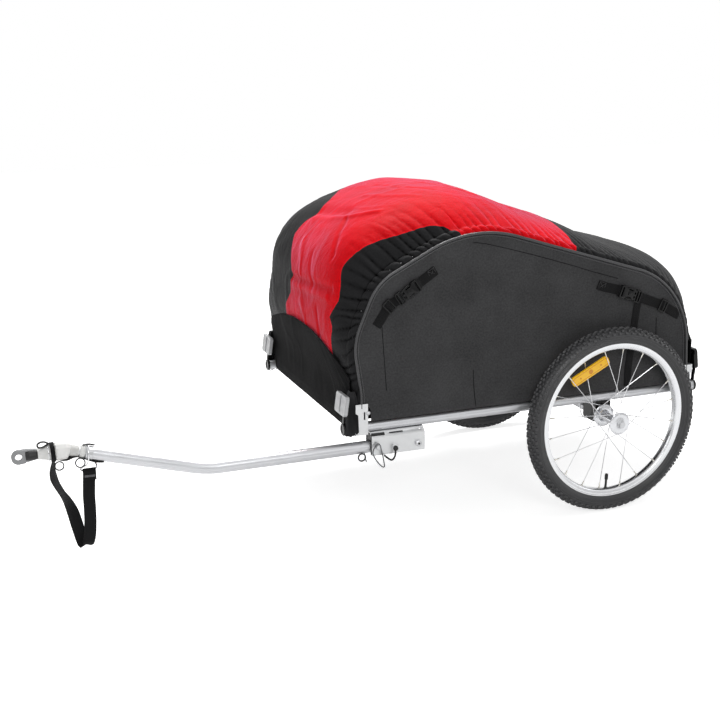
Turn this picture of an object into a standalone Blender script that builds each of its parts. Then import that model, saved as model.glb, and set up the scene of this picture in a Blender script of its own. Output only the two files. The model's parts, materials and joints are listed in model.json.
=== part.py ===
"""Two-wheel cargo trailer for a bicycle, built as separate pieces.

Sizes are in millimetres in the trailer's own axes: x = 0 at the wheel axle, the tow arm points to -X,
the arm's side is -Y, +Z is up and z = 0 is the ground. place() turns them into metres.
"""
import math

import bmesh
import bpy
from mathutils import Matrix, Vector

MM = 0.001

# Overall
X_SHIFT = 588.3
AXLE_Z = 250.5

# Rails and cross tubes, 25.4 mm aluminium
TUBE_R = 12.7
WALL = 1.6
RAIL_Y = 320.0
RAIL_Z = 301.5
RAIL_FRONT = -733.0
RAIL_REAR = 283.0
CROSS_FRONT_X = -700.0
CROSS_REAR_X = 258.0
COPE_R = TUBE_R + 0.3
RECEIVER_INNER = 55.0
RECEIVER_OUTER = 5.0
RECEIVER_LENGTH = 46.0
GAP = 0.3
AXLE_TUBE_HALF = RAIL_Y - RECEIVER_INNER - GAP
FLOOR_HALF = RAIL_Y - 16.0

# Side hoops: corner points of the bent tube in the XZ plane and the radius of each bend
HOOP_CORNERS = [(-695, 330), (-695, 392), (-714, 519), (-653, 663), (-403, 789), (234, 594), (251, 330)]
HOOP_BENDS = [250, 150, 130, 320, 230]
HINGE_Z = 341.0
LEG_X = (-695.0, 250.0)
HINGE_BOLT_R = 3.0

# Cover: height of the crown above the hoops at nine stations, front to rear
COVER_GAP = 4.0
COVER_THICK = 1.6
CROWN = [5, 38, 115, 92, 60, 47, 40, 90, 6]
CROWN_POWER = 2.6
COVER_T = (0.045, 0.40, 0.61, 0.93)
COVER_ROWS = (0.0, 0.157, 0.25, 0.34, 0.43, 0.51, 0.59, 0.67, 0.75, 0.83, 0.9, 0.93, 0.955, 0.975, 0.99, 1.0)
RED_EDGE = (
    (0.0, 0.63), (0.5, 0.68), (0.9, 0.80), (0.93, 0.845), (0.955, 0.885), (0.975, 0.925), (0.99, 0.96), (1.0, 0.985)
)
COVER_COLUMNS = (-1, -0.953, -0.907, -0.86, -0.6, -0.3, 0, 0.3, 0.6, 0.86, 0.907, 0.953, 1)
COVER_WRAP = 0.86
COVER_WRAP_DEG = 105.0

# Wheels, 20 inch (ISO 406)
WHEEL_Y = 369.0
RIM_R = 209.0
TYRE_HEIGHT = 41.5
TYRE_R = RIM_R + TYRE_HEIGHT
TYRE_HALF = 25.0
TYRE_WALL = 4.0
SPOKE_REFLECTOR_R = RIM_R - 51.0
RIM_DEPTH = 18.0
RIM_HALF = 14.2
WHEEL_STEPS = 36
SPOKES = 20
SPOKE_R = 1.1
SPOKE_FIRST_DEG = 10.0
SPOKE_LACING_DEG = 72.0
FLANGE_R = 30.0
FLANGE_Y = 38.0
SPOKE_FOOT_R = 26.0
HUB_HALF = 41.0
HUB_BORE_R = 6.15
AXLE_R = 6.0
VALVE_DEG = -92.5
SPOKE_REFLECTOR_DEG = 117.4

# Hitch bracket and tow arm
ARM_Y = -321.0
ARM_Z = 249.0
ARM_R = 15.5
ARM_WALL = 2.0
ARM_REAR = -530.0
ARM_BEND_X = -1081.0
ARM_BEND_R = 250.0
ARM_RISE_DEG = 15.8
ARM_FRONT_RUN = 272.0
PLUG_RUN = 52.0
PIVOT = (-546.0, 249.0)
LOCK = (-654.0, 253.0)
STUD = (-606.0, 245.0)
BRACKET_X = (-670.0, -527.0)
BRACKET_Z = (230.0, 288.4)
BRACKET_HALF = 20.5
SHEET = 2.5

# Coupler at the arm's front end
HEAD_START = (-1396.0, 338.4)
HEAD_DROP_DEG = 2.0
STRAP_W = 28.0
STRAP_T = 2.0

STEPS = 24
X_AXIS, Y_AXIS, Z_AXIS = Vector((1, 0, 0)), Vector((0, 1, 0)), Vector((0, 0, 1))

FINISH = {
    "aluminium": ((0.72, 0.73, 0.75), 1.0, 0.3),
    "zinc": ((0.62, 0.64, 0.66), 1.0, 0.35),
    "black_plastic": ((0.02, 0.02, 0.02), 0.0, 0.45),
    "clear_plastic": ((0.8, 0.8, 0.8), 0.0, 0.1),
    "red_plastic": ((0.6, 0.02, 0.02), 0.0, 0.15),
    "amber_plastic": ((0.9, 0.45, 0.02), 0.0, 0.15),
    "rubber": ((0.02, 0.02, 0.02), 0.0, 0.7),
    "black_fabric": ((0.03, 0.03, 0.03), 0.0, 0.9),
    "red_fabric": ((0.7, 0.02, 0.04), 0.0, 0.85),
}


# Scene and objects


def place(x, y, z):
    """Millimetres in the trailer's axes to metres in the row frame."""
    return Vector(((x + X_SHIFT) * MM, y * MM, z * MM))


def clear_scene():
    for obj in list(bpy.data.objects):
        bpy.data.objects.remove(obj, do_unlink=True)
    for mesh in list(bpy.data.meshes):
        bpy.data.meshes.remove(mesh)


def group(name):
    found = bpy.data.collections.get(name)
    if found is None:
        found = bpy.data.collections.new(name)
        bpy.context.scene.collection.children.link(found)
    return found


def add_object(name, data, origin=(0, 0, 0), rotation=None):
    obj = bpy.data.objects.new(name, data)
    obj.location = place(*origin)
    if rotation is not None:
        obj.rotation_euler = rotation.to_euler()
    group("cargo_trailer").objects.link(obj)
    return obj


def paint(obj, finish):
    """Give a piece its own material."""
    rgb, metallic, roughness = FINISH[finish]
    mat = bpy.data.materials.new(obj.name)
    mat.use_nodes = True
    shader = mat.node_tree.nodes["Principled BSDF"]
    shader.inputs["Base Color"].default_value = (*rgb, 1.0)
    shader.inputs["Metallic"].default_value = metallic
    shader.inputs["Roughness"].default_value = roughness
    obj.data.materials.append(mat)
    return obj


def boolean(obj, tool, operation, self_cut=False):
    """Cut or join with a tool that is kept, hidden, in the cutters' collection."""
    group("cargo_trailer").objects.unlink(tool)
    group("cutters").objects.link(tool)
    tool.hide_render = True
    tool.display_type = "WIRE"
    mod = obj.modifiers.new(tool.name, "BOOLEAN")
    mod.operation = operation
    mod.solver = "EXACT"
    mod.use_self = self_cut
    mod.object = tool
    return obj


def cut(obj, tool):
    return boolean(obj, tool, "DIFFERENCE")


def join(obj, tool, self_cut=False):
    return boolean(obj, tool, "UNION", self_cut)


def smooth(mesh):
    mesh.shade_smooth()
    mesh.set_sharp_from_angle(angle=math.radians(40))


def carry(pivot_name, pivot, names):
    """An empty on a joint's axis that holds the pieces which move about it."""
    empty = bpy.data.objects.new(pivot_name, None)
    empty.location = place(*pivot)
    empty.empty_display_size = 0.03
    group("cargo_trailer").objects.link(empty)
    for name in names:
        child = bpy.data.objects[name]
        child.parent = empty
        child.matrix_parent_inverse = Matrix.Translation(empty.location).inverted()
    return empty


# Shapes


def box(name, low, high):
    low, high = Vector(low), Vector(high)
    shape = bmesh.new()
    bmesh.ops.create_cube(shape, size=1.0, matrix=Matrix.Diagonal((*((high - low) * MM), 1.0)))
    mesh = bpy.data.meshes.new(name)
    shape.to_mesh(mesh)
    shape.free()
    return add_object(name, mesh, (low + high) / 2)


def rods(name, spans, radius, steps=STEPS):
    """Round bars between pairs of points, as cylinders in one mesh."""
    origin = (Vector(spans[0][0]) + Vector(spans[0][1])) / 2
    shape = bmesh.new()
    for start, end in spans:
        start, end = Vector(start) - origin, Vector(end) - origin
        turn = (end - start).to_track_quat("Z", "Y").to_matrix().to_4x4()
        seat = Matrix.Translation((start + end) / 2 * MM) @ turn
        bmesh.ops.create_cone(
            shape, cap_ends=True, segments=steps, radius1=radius * MM, radius2=radius * MM,
            depth=(end - start).length * MM, matrix=seat
        )
    mesh = bpy.data.meshes.new(name)
    shape.to_mesh(mesh)
    shape.free()
    smooth(mesh)
    return add_object(name, mesh, origin)


def turned(name, profile, centre, axis, steps=STEPS, closed=False):
    """A profile of (radius, height) pairs given a full turn about an axis through centre."""
    points = list(profile)
    area = sum(a[0] * b[1] - b[0] * a[1] for a, b in zip(points, points[1:] + points[:1]))
    if area > 0:
        points.reverse()
    edges = [(i, i + 1) for i in range(len(points) - 1)]
    if closed:
        edges.append((len(points) - 1, 0))
    mesh = bpy.data.meshes.new(name)
    mesh.from_pydata([(radius * MM, 0.0, height * MM) for radius, height in points], edges, [])
    obj = add_object(name, mesh, centre, Vector(axis).to_track_quat("Z", "Y"))
    turn = obj.modifiers.new("turn", "SCREW")
    turn.steps = turn.render_steps = steps
    turn.use_merge_vertices = True
    turn.merge_threshold = 0.00001
    turn.use_smooth_shade = False
    return obj


def tube_straight(name, start, end, radius, wall, steps=STEPS):
    start, end = Vector(start), Vector(end)
    length = (end - start).length
    profile = [(radius, 0), (radius, length), (radius - wall, length), (radius - wall, 0)]
    return turned(name, profile, start, end - start, steps, closed=True)


def plate(name, outline, thickness, centre, across=X_AXIS, up=Z_AXIS):
    """A flat outline, drawn across and up from centre and thickened to both sides."""
    curve = bpy.data.curves.new(name, "CURVE")
    curve.dimensions = "2D"
    curve.fill_mode = "BOTH"
    curve.extrude = thickness / 2 * MM
    spline = curve.splines.new("POLY")
    spline.points.add(len(outline) - 1)
    for point, (a, b) in zip(spline.points, outline):
        point.co = (a * MM, b * MM, 0.0, 1.0)
    spline.use_cyclic_u = True
    across, up = Vector(across).normalized(), Vector(up).normalized()
    return as_mesh(add_object(name, curve, centre, Matrix((across, up, across.cross(up))).transposed()))


def bar(name, path, radius, resolution=2, closed=False):
    """A round bar or wire along a path: a curve with a bevel depth."""
    curve = bpy.data.curves.new(name, "CURVE")
    curve.dimensions = "3D"
    curve.bevel_depth = radius * MM
    curve.bevel_resolution = resolution
    curve.use_fill_caps = not closed
    spline = curve.splines.new("POLY")
    spline.points.add(len(path) - 1)
    for point, at in zip(spline.points, path):
        point.co = (*((Vector(at) - Vector(path[0])) * MM), 1.0)
    spline.use_cyclic_u = closed
    return as_mesh(add_object(name, curve, path[0]))


def as_mesh(obj):
    """The same shape as a mesh object, with its loose caps welded, so that it can be cut and joined."""
    name = obj.name
    bpy.context.view_layer.update()
    graph = bpy.context.evaluated_depsgraph_get()
    mesh = bpy.data.meshes.new_from_object(obj.evaluated_get(graph))
    shape = bmesh.new()
    shape.from_mesh(mesh)
    bmesh.ops.remove_doubles(shape, verts=shape.verts, dist=0.000001)
    shape.to_mesh(mesh)
    shape.free()
    smooth(mesh)
    origin, turn = obj.location.copy(), obj.rotation_euler.copy()
    curve = obj.data
    bpy.data.objects.remove(obj, do_unlink=True)
    bpy.data.curves.remove(curve)
    mesh.name = name
    made = add_object(name, mesh)
    made.location, made.rotation_euler = origin, turn
    return made


def bent_tube(name, path, radius, wall, resolution):
    """A tube along a path: a bar bored out by a thinner one that runs past both its ends."""
    points = [Vector(p) for p in path]
    first = points[0] + (points[0] - points[1]).normalized() * 2
    last = points[-1] + (points[-1] - points[-2]).normalized() * 2
    obj = bar(name, points, radius, resolution)
    return cut(obj, bar(name + "_bore", [first] + points[1:-1] + [last], radius - wall, resolution))


def cloth(name, rows, cols, point_at, thickness=COVER_THICK, offset=-1.0):
    """A sheet: a grid whose points are moved to point_at(row, column), thickened inwards."""
    shape = bmesh.new()
    bmesh.ops.create_grid(shape, x_segments=cols - 1, y_segments=rows - 1, size=1.0)
    for vert in shape.verts:
        i = round((vert.co.y + 1) / 2 * (rows - 1))
        j = round((vert.co.x + 1) / 2 * (cols - 1))
        vert.co = Vector(point_at(i, j)) * MM
    bmesh.ops.reverse_faces(shape, faces=shape.faces)
    mesh = bpy.data.meshes.new(name)
    shape.to_mesh(mesh)
    shape.free()
    smooth(mesh)
    obj = add_object(name, mesh)
    shell = obj.modifiers.new("cloth", "SOLIDIFY")
    shell.thickness = thickness * MM
    shell.offset = offset
    obj.modifiers.new("facets", "TRIANGULATE")
    return obj


def loft(name, rings):
    """A skin through unlike closed sections of the same count, flat at both ends."""
    origin = sum((Vector(p) for p in rings[0]), Vector()) / len(rings[0])
    shape = bmesh.new()
    rows = [[shape.verts.new((Vector(p) - origin) * MM) for p in ring] for ring in rings]
    for low, high in zip(rows, rows[1:]):
        for k, vert in enumerate(low):
            n = (k + 1) % len(low)
            shape.faces.new((vert, low[n], high[n], high[k]))
    shape.faces.new(rows[0])
    shape.faces.new(rows[-1])
    bmesh.ops.recalc_face_normals(shape, faces=shape.faces)
    mesh = bpy.data.meshes.new(name)
    shape.to_mesh(mesh)
    shape.free()
    return add_object(name, mesh, origin)


def bent_path(corners, bends, step_deg=7.0):
    """The centre line of a tube bent at each inner corner to the given radius, in two coordinates."""
    points = [Vector(c) for c in corners]
    path = [points[0]]
    for i, radius in enumerate(bends, start=1):
        back = (points[i - 1] - points[i]).normalized()
        ahead = (points[i + 1] - points[i]).normalized()
        turn = math.pi - back.angle(ahead)
        run = radius * math.tan(turn / 2)
        centre = points[i] + (back + ahead).normalized() * (radius / math.cos(turn / 2))
        first = points[i] + back * run - centre
        last = points[i] + ahead * run - centre
        count = max(2, int(math.degrees(turn) / step_deg))
        for k in range(count + 1):
            w = k / count
            arm = first * math.sin((1 - w) * turn) + last * math.sin(w * turn)
            path.append(centre + arm / math.sin(turn))
    path.append(points[-1])
    return path


def resample(path, count):
    """Evenly spaced points on a 2D path, each with its outward normal (upwards and away from the bay)."""
    runs = [0.0]
    for a, b in zip(path, path[1:]):
        runs.append(runs[-1] + (b - a).length)
    points = []
    for k in range(count):
        want = runs[-1] * k / (count - 1)
        i = max(j for j in range(len(path) - 1) if runs[j] <= want + 1e-9)
        w = (want - runs[i]) / (runs[i + 1] - runs[i])
        points.append(path[i].lerp(path[i + 1], min(w, 1.0)))
    result = []
    for k, point in enumerate(points):
        along = (points[min(k + 1, count - 1)] - points[max(k - 1, 0)]).normalized()
        result.append((point, Vector((-along.y, along.x))))
    return result


def mix(values, t):
    """Linear reading of evenly spaced values at t from 0 to 1."""
    at = min(max(t, 0.0), 1.0) * (len(values) - 1)
    i = min(int(at), len(values) - 2)
    return values[i] + (values[i + 1] - values[i]) * (at - i)


# Frame


def make_rails():
    for side, word in ((-1, "left"), (1, "right")):
        y = side * RAIL_Y
        rail = tube_straight("rail_" + word, (RAIL_FRONT, y, RAIL_Z), (RAIL_REAR, y, RAIL_Z), TUBE_R, WALL)
        paint(rail, "aluminium")
        for x, out, where in ((RAIL_FRONT, -1, "front"), (RAIL_REAR, 1, "rear")):
            plug = TUBE_R - WALL - 0.4
            profile = [
                (0, -14), (plug, -14), (plug, 0.3), (TUBE_R + 3.3, 0.3), (TUBE_R + 3.3, 5.0), (TUBE_R + 1.5, 6.5),
                (TUBE_R - 3, 6.5), (TUBE_R - 4, 5.2), (0, 5.2),
            ]
            cap = turned("end_cap_%s_%s" % (where, word), profile, (x, y, RAIL_Z), X_AXIS * out, 14)
            paint(cap, "black_plastic")


def make_cross_tubes():
    """Cross tubes whose ends are cut to the curve of the rails, and the straight axle tube."""
    for name, x in (("cross_tube_front", CROSS_FRONT_X), ("cross_tube_rear", CROSS_REAR_X)):
        tube = tube_straight(name, (x, -RAIL_Y, RAIL_Z), (x, RAIL_Y, RAIL_Z), TUBE_R, WALL, 16)
        for side in (-1, 1):
            ends = ((x - 30, side * RAIL_Y, RAIL_Z), (x + 30, side * RAIL_Y, RAIL_Z))
            cut(tube, rods("%s_cope_%d" % (name, side), [ends], COPE_R))
        paint(tube, "aluminium")
    ends = ((0, -AXLE_TUBE_HALF, AXLE_Z), (0, AXLE_TUBE_HALF, AXLE_Z))
    paint(tube_straight("axle_tube", *ends, TUBE_R, WALL, 20), "aluminium")


def make_floor():
    """The bay's floor sheet, stretched over the cross tubes and between the rails."""
    low = (CROSS_FRONT_X - 6, -FLOOR_HALF, RAIL_Z + TUBE_R + 0.1)
    high = (CROSS_REAR_X + 6, FLOOR_HALF, RAIL_Z + TUBE_R + 2.6)
    paint(box("floor_panel", low, high), "black_fabric")


def make_receivers():
    """Moulded blocks under the rails, deeper on their inner side, that hold the plug-in axles."""
    for side, word in ((-1, "left"), (1, "right")):
        first = math.degrees(math.asin(RECEIVER_OUTER / COPE_R))
        saddle = [math.radians(first - (first + 58) * k / 8) for k in range(9)]
        outline = [(COPE_R * math.sin(a), RAIL_Z - COPE_R * math.cos(a)) for a in saddle]
        back, high = outline[-1][0] - 6, outline[-1][1]
        low, crest = AXLE_Z - 18.5, AXLE_Z + 28.5
        inner, outer = -RECEIVER_INNER, RECEIVER_OUTER
        outline += [(back, high), (back - 3, high - 3.6), (back - 3, crest), (inner + 5, crest), (inner, crest - 5)]
        outline += [(inner, low + 6), (inner + 6, low), (outer - 6, low), (outer, low + 6)]
        outline = [(side * a, b) for a, b in outline]
        body = plate("receiver_" + word, outline, RECEIVER_LENGTH, (0, side * RAIL_Y, 0), Y_AXIS, Z_AXIS)
        ends = ((0, side * (RAIL_Y + inner + 1), AXLE_Z), (0, side * (RAIL_Y + outer + 5), AXLE_Z))
        cut(body, rods("receiver_bore_" + word, [ends], AXLE_R + 0.15))
        paint(body, "black_plastic")


def make_hoop_brackets():
    """Folded sheet brackets clamped on the rails; the hoop legs turn on a bolt through their ears."""
    thick = 2.0
    for side, word in ((-1, "left"), (1, "right")):
        y = side * RAIL_Y
        for x, where, half in ((LEG_X[0], "front", 16.0), (LEG_X[1], "rear", 17.0)):
            name = "hoop_bracket_%s_%s" % (where, word)
            back, mouth = side * 20.0, -side * 15.0
            fold = [
                (-half, mouth), (-half, back), (half, back), (half, mouth), (half - thick, mouth),
                (half - thick, back - side * thick), (-half + thick, back - side * thick), (-half + thick, mouth),
            ]
            body = plate(name, fold, 79, (x, y, 326.5), X_AXIS, Y_AXIS)
            low, high = sorted((y + side * 0.5, y - side * 16))
            cut(body, box(name + "_trim", (x - 20, low, 280), (x + 20, high, 318)))
            cut(body, rods(name + "_rail", [((x - 20, y, RAIL_Z), (x + 20, y, RAIL_Z))], COPE_R + 0.2, 16))
            low, high = sorted((y + side * 15, y + side * 25))
            cut(body, box(name + "_slot", (x + 5, low, 326), (x + 9, high, 346)))
            ends = ((x - half - 0.6, y, HINGE_Z), (x + half + 0.6, y, HINGE_Z))
            join(body, rods(name + "_bolt", [ends], HINGE_BOLT_R, 16))
            for out in (-1, 1):
                profile = [(0, 0), (6.5, 0), (6.5, 2.0), (4.0, 4.6), (0, 4.6)]
                foot = (x + out * (half - 0.4), y, HINGE_Z)
                join(body, turned("%s_dome_%d" % (name, out), profile, foot, X_AXIS * out, 8))
            paint(body, "zinc")


def make_hitch_bracket():
    """A pressed channel under the arm-side rail, open downwards, with a black stop block above the arm."""
    z_low, z_top = BRACKET_Z
    x0, x1 = BRACKET_X
    half = BRACKET_HALF
    outer = [(-half, z_low), (-half, z_top - 5), (-half + 1.5, z_top - 1.5), (-half + 5, z_top)]
    inner = [(-half + SHEET, z_low), (-half + SHEET, z_top - 5.5), (-half + 5.5, z_top - SHEET)]
    fold = outer + [(-y, z) for y, z in reversed(outer)] + [(-y, z) for y, z in inner] + list(reversed(inner))
    body = plate("hitch_bracket", fold, x1 - x0, ((x0 + x1) / 2, ARM_Y, 0), Y_AXIS, Z_AXIS)
    for name, (x, z), radius in (("pivot_hole", PIVOT, 5.15), ("lock_hole", LOCK, 4.6)):
        cut(body, rods(name, [((x, ARM_Y - half - 5, z), (x, ARM_Y + half + 5, z))], radius, 12))
    y_out = ARM_Y - half
    cut(body, box("bracket_slot", (-622, y_out + 6, z_top - 6), (-584, y_out + 11, z_top + 3)))
    stud = [(0, -1), (9, -1), (9, 5), (4.4, 6), (4.4, 10), (0, 10)]
    join(body, turned("tether_stud", stud, (STUD[0], y_out, STUD[1]), -Y_AXIS, 12))
    paint(body, "zinc")

    wide = half - SHEET - 0.5
    low, high = ARM_Z + ARM_R + 0.3, z_top - SHEET - 0.4
    outline = [(-wide, low), (wide, low), (wide, high - 4), (wide - 4, high), (4 - wide, high), (-wide, high - 4)]
    block = plate("arm_stop_block", outline, 34.5, (x0 + 18.75, ARM_Y, 0), Y_AXIS, Z_AXIS)
    paint(block, "rubber")

    profile = [
        (0, -25.6), (8, -25.6), (8, -20.9), (5.0, -20.9), (5.0, 20.9), (8, 20.9), (8, 26.5), (5.5, 28), (0, 28)
    ]
    paint(turned("arm_pivot_bolt", profile, (PIVOT[0], ARM_Y, PIVOT[1]), -Y_AXIS, 12), "zinc")


def make_end_panels():
    """Fabric end walls. Each wraps its cross tube and rises in an arch, just outside the cover's hem."""
    for name, out, tube_x, leg_x, top in (
        ("front_panel", -1, CROSS_FRONT_X, LEG_X[0], 516.0), ("rear_panel", 1, CROSS_REAR_X, LEG_X[1], 470.0)
    ):
        reach = TUBE_R + 3.0
        turns = [math.radians(deg) for deg in (-100, -70, -40, -10)]
        wraps = [(tube_x + out * reach * math.cos(a), RAIL_Z + reach * math.sin(a)) for a in turns]
        rises = (0.0, 0.12, 0.36, 0.6, 0.8, 1.0)
        cols = 11

        def point(i, j, wraps=wraps, top=top, out=out, leg_x=leg_x):
            s = -1 + 2 * j / (cols - 1)
            if i < len(wraps):
                return (wraps[i][0], -out * s * 302.0, wraps[i][1])
            rise = rises[i - len(wraps)]
            edge = 302.0 + 14.0 * min(1.0, rise / 0.12)
            z = 324.0 + rise * (106.0 + (top - 430.0) * (1 - abs(s) ** 2.6))
            rise_mm = z - HOOP_CORNERS[0][1]
            t = rise_mm / 1498.0 if out < 0 else 1 - rise_mm / 1498.0
            bulge = mix(CROWN, t) * (1 - abs(s * edge / RAIL_Y) ** CROWN_POWER)
            if out > 0:
                bulge *= min(1.0, 0.3 + 0.7 * max(0.0, (z - 402.0) / 30.0))
            foot, bend = HOOP_CORNERS[1:3] if out < 0 else ((leg_x, 0), (leg_x, 1))
            lean = (bend[0] - foot[0]) / (bend[1] - foot[1]) * max(z - foot[1], 0.0)
            return (leg_x + lean + out * (23.5 + bulge), -out * s * edge, z)

        paint(cloth(name, len(wraps) + len(rises), cols, point), "black_fabric")


# Folding sides


def hoop_path():
    return bent_path(HOOP_CORNERS, HOOP_BENDS, 9.0)


def make_hoops():
    for side, word in ((-1, "left"), (1, "right")):
        y = side * RAIL_Y
        body = bent_tube("hoop_" + word, [(p.x, y, p.y) for p in hoop_path()], TUBE_R, WALL, 2)
        for x in LEG_X:
            ends = ((x - 20, y, HINGE_Z), (x + 20, y, HINGE_Z))
            cut(body, rods("hoop_hole_%s_%d" % (word, x), [ends], HINGE_BOLT_R + 0.1, 16))
        paint(body, "aluminium")


def make_side_panels():
    """Fabric side walls, stretched inside the hoops and cut away round the brackets."""
    inner = TUBE_R + 0.8
    edge = [point - normal * inner for point, normal in resample(hoop_path(), 40)]
    edge = [p for p in edge if p.y > 374]
    x_low, x_high = LEG_X[0] + 22.0, LEG_X[1] - 22.0
    outline = [(p.x, p.y) for p in edge]
    outline += [(edge[-1].x, 371), (x_high, 371), (x_high, 321.5)]
    outline += [(x_low, 321.5), (x_low, 371), (LEG_X[0] + inner, 371)]
    for side, word in ((-1, "left"), (1, "right")):
        paint(plate("side_panel_" + word, outline, 1.6, (0, side * RAIL_Y, 0)), "black_fabric")


def make_buckles():
    """Webbing with a side-release buckle and a slider, on the outside of each side panel."""
    spots = {"front": ((-628, 606), (-510, 684), 0.55), "rear": ((158, 556), (-12, 616), 0.45)}
    fork = [
        (-34, -10), (-31, -16.5), (-8, -16.5), (-4, -12.5), (4, -12.5), (8, -16.5), (26, -16.5), (30, -13),
        (30, 13), (26, 16.5), (8, 16.5), (4, 12.5), (-4, 12.5), (-8, 16.5), (-31, 16.5), (-34, 10),
    ]
    frame = [(-9, -15.5), (9, -15.5), (9, 15.5), (-9, 15.5)]
    for side, word in ((-1, "left"), (1, "right")):
        face = side * (RAIL_Y + 1.1)
        for where, (low, high, mid) in spots.items():
            start, end = Vector((low[0], face, low[1])), Vector((high[0], face, high[1]))
            along = (end - start).normalized()
            up = along.cross(Y_AXIS) * (-1 if along.x > 0 else 1)
            run = (end - start).length
            name = "buckle_%s_%s" % (where, word)
            out = Y_AXIS * side
            strip = [(-run / 2, -12.5), (run / 2, -12.5), (run / 2, 12.5), (-run / 2, 12.5)]
            body = plate(name, strip, 2.0, (start + end) / 2 + out * 1.0, along, up)
            middle = start + along * (run * mid)
            join(body, plate(name + "_fork", fork, 9.0, middle + out * 5.6, along, up))
            join(body, plate(name + "_slider", frame, 3.6, start + along * 16 + out * 2.4, along, up))
            paint(body, "black_plastic")


# Cover


def cover_point(t, w):
    """The cover's outer face: t runs from the front hem to the rear hem, w from the left to the right."""
    at = min(max(t, 0.0), 1.0) * (len(STATIONS) - 1)
    i = min(int(at), len(STATIONS) - 2)
    (p0, n0), (p1, n1) = STATIONS[i], STATIONS[i + 1]
    base = p0.lerp(p1, at - i)
    normal = n0.lerp(n1, at - i).normalized()
    reach = TUBE_R + COVER_GAP + COVER_THICK
    s = abs(w)
    if s <= COVER_WRAP:
        y = RAIL_Y * s / COVER_WRAP
        off = reach + mix(CROWN, t) * (1 - (s / COVER_WRAP) ** CROWN_POWER)
    else:
        turn = (s - COVER_WRAP) / (1 - COVER_WRAP) * math.radians(COVER_WRAP_DEG)
        y = RAIL_Y + reach * math.sin(turn)
        off = reach * math.cos(turn)
    return Vector((base.x + normal.x * off, math.copysign(y, w), base.y + normal.y * off))


def red_edge(u):
    """Half width of the red cloth between the black shoulders: u runs from the front hem to where they end."""
    for (u0, e0), (u1, e1) in zip(RED_EDGE, RED_EDGE[1:]):
        if u <= u1:
            return e0 + (e1 - e0) * (u - u0) / (u1 - u0)
    return RED_EDGE[-1][1]


def make_cover():
    """Sewn cover: a red middle, two black shoulders at the front and a black rear, each its own cloth."""
    t_low, t_front, t_rear, t_high = COVER_T
    seam = 0.0003
    shared = [t_low + (t_front - t_low) * u for u in COVER_ROWS]
    red_t = shared[1:] + [t_front + (t_rear - t_front) * k / 4 for k in range(1, 5)]

    def red(i, j):
        t = red_t[i] - (seam if i == len(red_t) - 1 else 0.0)
        u = (t - t_low) / (t_front - t_low)
        return cover_point(t, COVER_COLUMNS[j] * (red_edge(u) - 0.001 if u < 0.999 else 1.0))

    paint(cloth("cover_red", len(red_t), len(COVER_COLUMNS), red), "red_fabric")

    def rear(i, j):
        return cover_point(t_rear + seam + (t_high - t_rear - seam) * i / 7, COVER_COLUMNS[j])

    paint(cloth("cover_rear", 8, len(COVER_COLUMNS), rear), "black_fabric")

    for side, word in ((-1, "left"), (1, "right")):

        def shoulder(i, j, side=side):
            u = COVER_ROWS[i]
            edge = red_edge(u) + 0.001 + (0.2 if i == 0 else 0.0)
            spread = [edge, (edge + COVER_WRAP) / 2, COVER_WRAP, 0.907, 0.953, 1.0]
            if edge > 0.82 or i == 0:
                spread = [edge + (1.0 - edge) * k / 5 for k in range(6)]
            return cover_point(shared[i], side * spread[j if side > 0 else 5 - j])

        paint(cloth("cover_shoulder_" + word, len(COVER_ROWS) - 1, 6, shoulder), "black_fabric")


# Reflectors


def make_reflectors():
    """Plate reflectors that lean back a little, on small arms that stand on the caps of the rails."""
    half = 38.0
    lean = math.radians(7.6)
    for side, word in ((-1, "left"), (1, "right")):
        for where, x, inset, out, z0, z1, finish in (
            ("front", -737.0, 5.0, -1, 339.0, 392.0, "clear_plastic"),
            ("rear", 292.0, 34.0, 1, 346.0, 402.0, "red_plastic"),
        ):
            y = side * (RAIL_Y - inset)
            rise = (z1 - z0) / 2
            outline = [(-half, 5 - rise), (5 - half, -rise), (half - 5, -rise), (half, 5 - rise)]
            outline += [(-a, -b) for a, b in outline]
            up = Vector((-out * math.sin(lean), 0, math.cos(lean)))
            shape = plate("reflector_%s_%s" % (where, word), outline, 9.0, (x, y, (z0 + z1) / 2), Y_AXIS, up)
            paint(shape, finish)

            end = (RAIL_FRONT if out < 0 else RAIL_REAR) - x
            slope = math.tan(lean)
            mid = (z0 + z1) / 2

            def back(z, out=out, slope=slope, mid=mid):
                return -out * (slope * (z - mid) + 4.9)

            high = z1 - 14
            arm = [
                (end + out * 5.0, RAIL_Z + 8), (end + out * 5.0, z0 - 18), (back(z0), z0 - 4), (back(high), high),
                (back(high) - out * 3.5, high), (back(z0) - out * 3.5, z0), (end + out * 1.4, z0 - 16),
                (end + out * 1.4, RAIL_Z + 8),
            ]
            name = "%s_%s" % (where, word)
            tool = plate("reflector_arm_" + name, arm, 10, (x, side * RAIL_Y, 0))
            join(bpy.data.objects["end_cap_" + name], tool)


# Wheels


def tyre_profile():
    """An open casing: outer arc from bead to bead, then the inner arc back."""
    centre = TYRE_R - TYRE_HALF
    bead = RIM_R - 5.0
    outer = [(bead, -12.2), (RIM_R + 0.4, -12.2), (RIM_R + 0.4, -15.4)]
    for deg in (-90, -50):
        a = math.radians(deg)
        outer.append((centre + TYRE_HALF * math.cos(a), TYRE_HALF * math.sin(a)))
    outer.append((TYRE_R, -9))
    outer += [(r, -y) for r, y in reversed(outer)]
    inner = [(bead, -8.3)]
    for deg in (-80, -28):
        a = math.radians(deg)
        inner.append((centre + (TYRE_HALF - TYRE_WALL) * math.cos(a), (TYRE_HALF - TYRE_WALL) * math.sin(a)))
    inner += [(r, -y) for r, y in reversed(inner)]
    return outer + list(reversed(inner))


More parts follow.
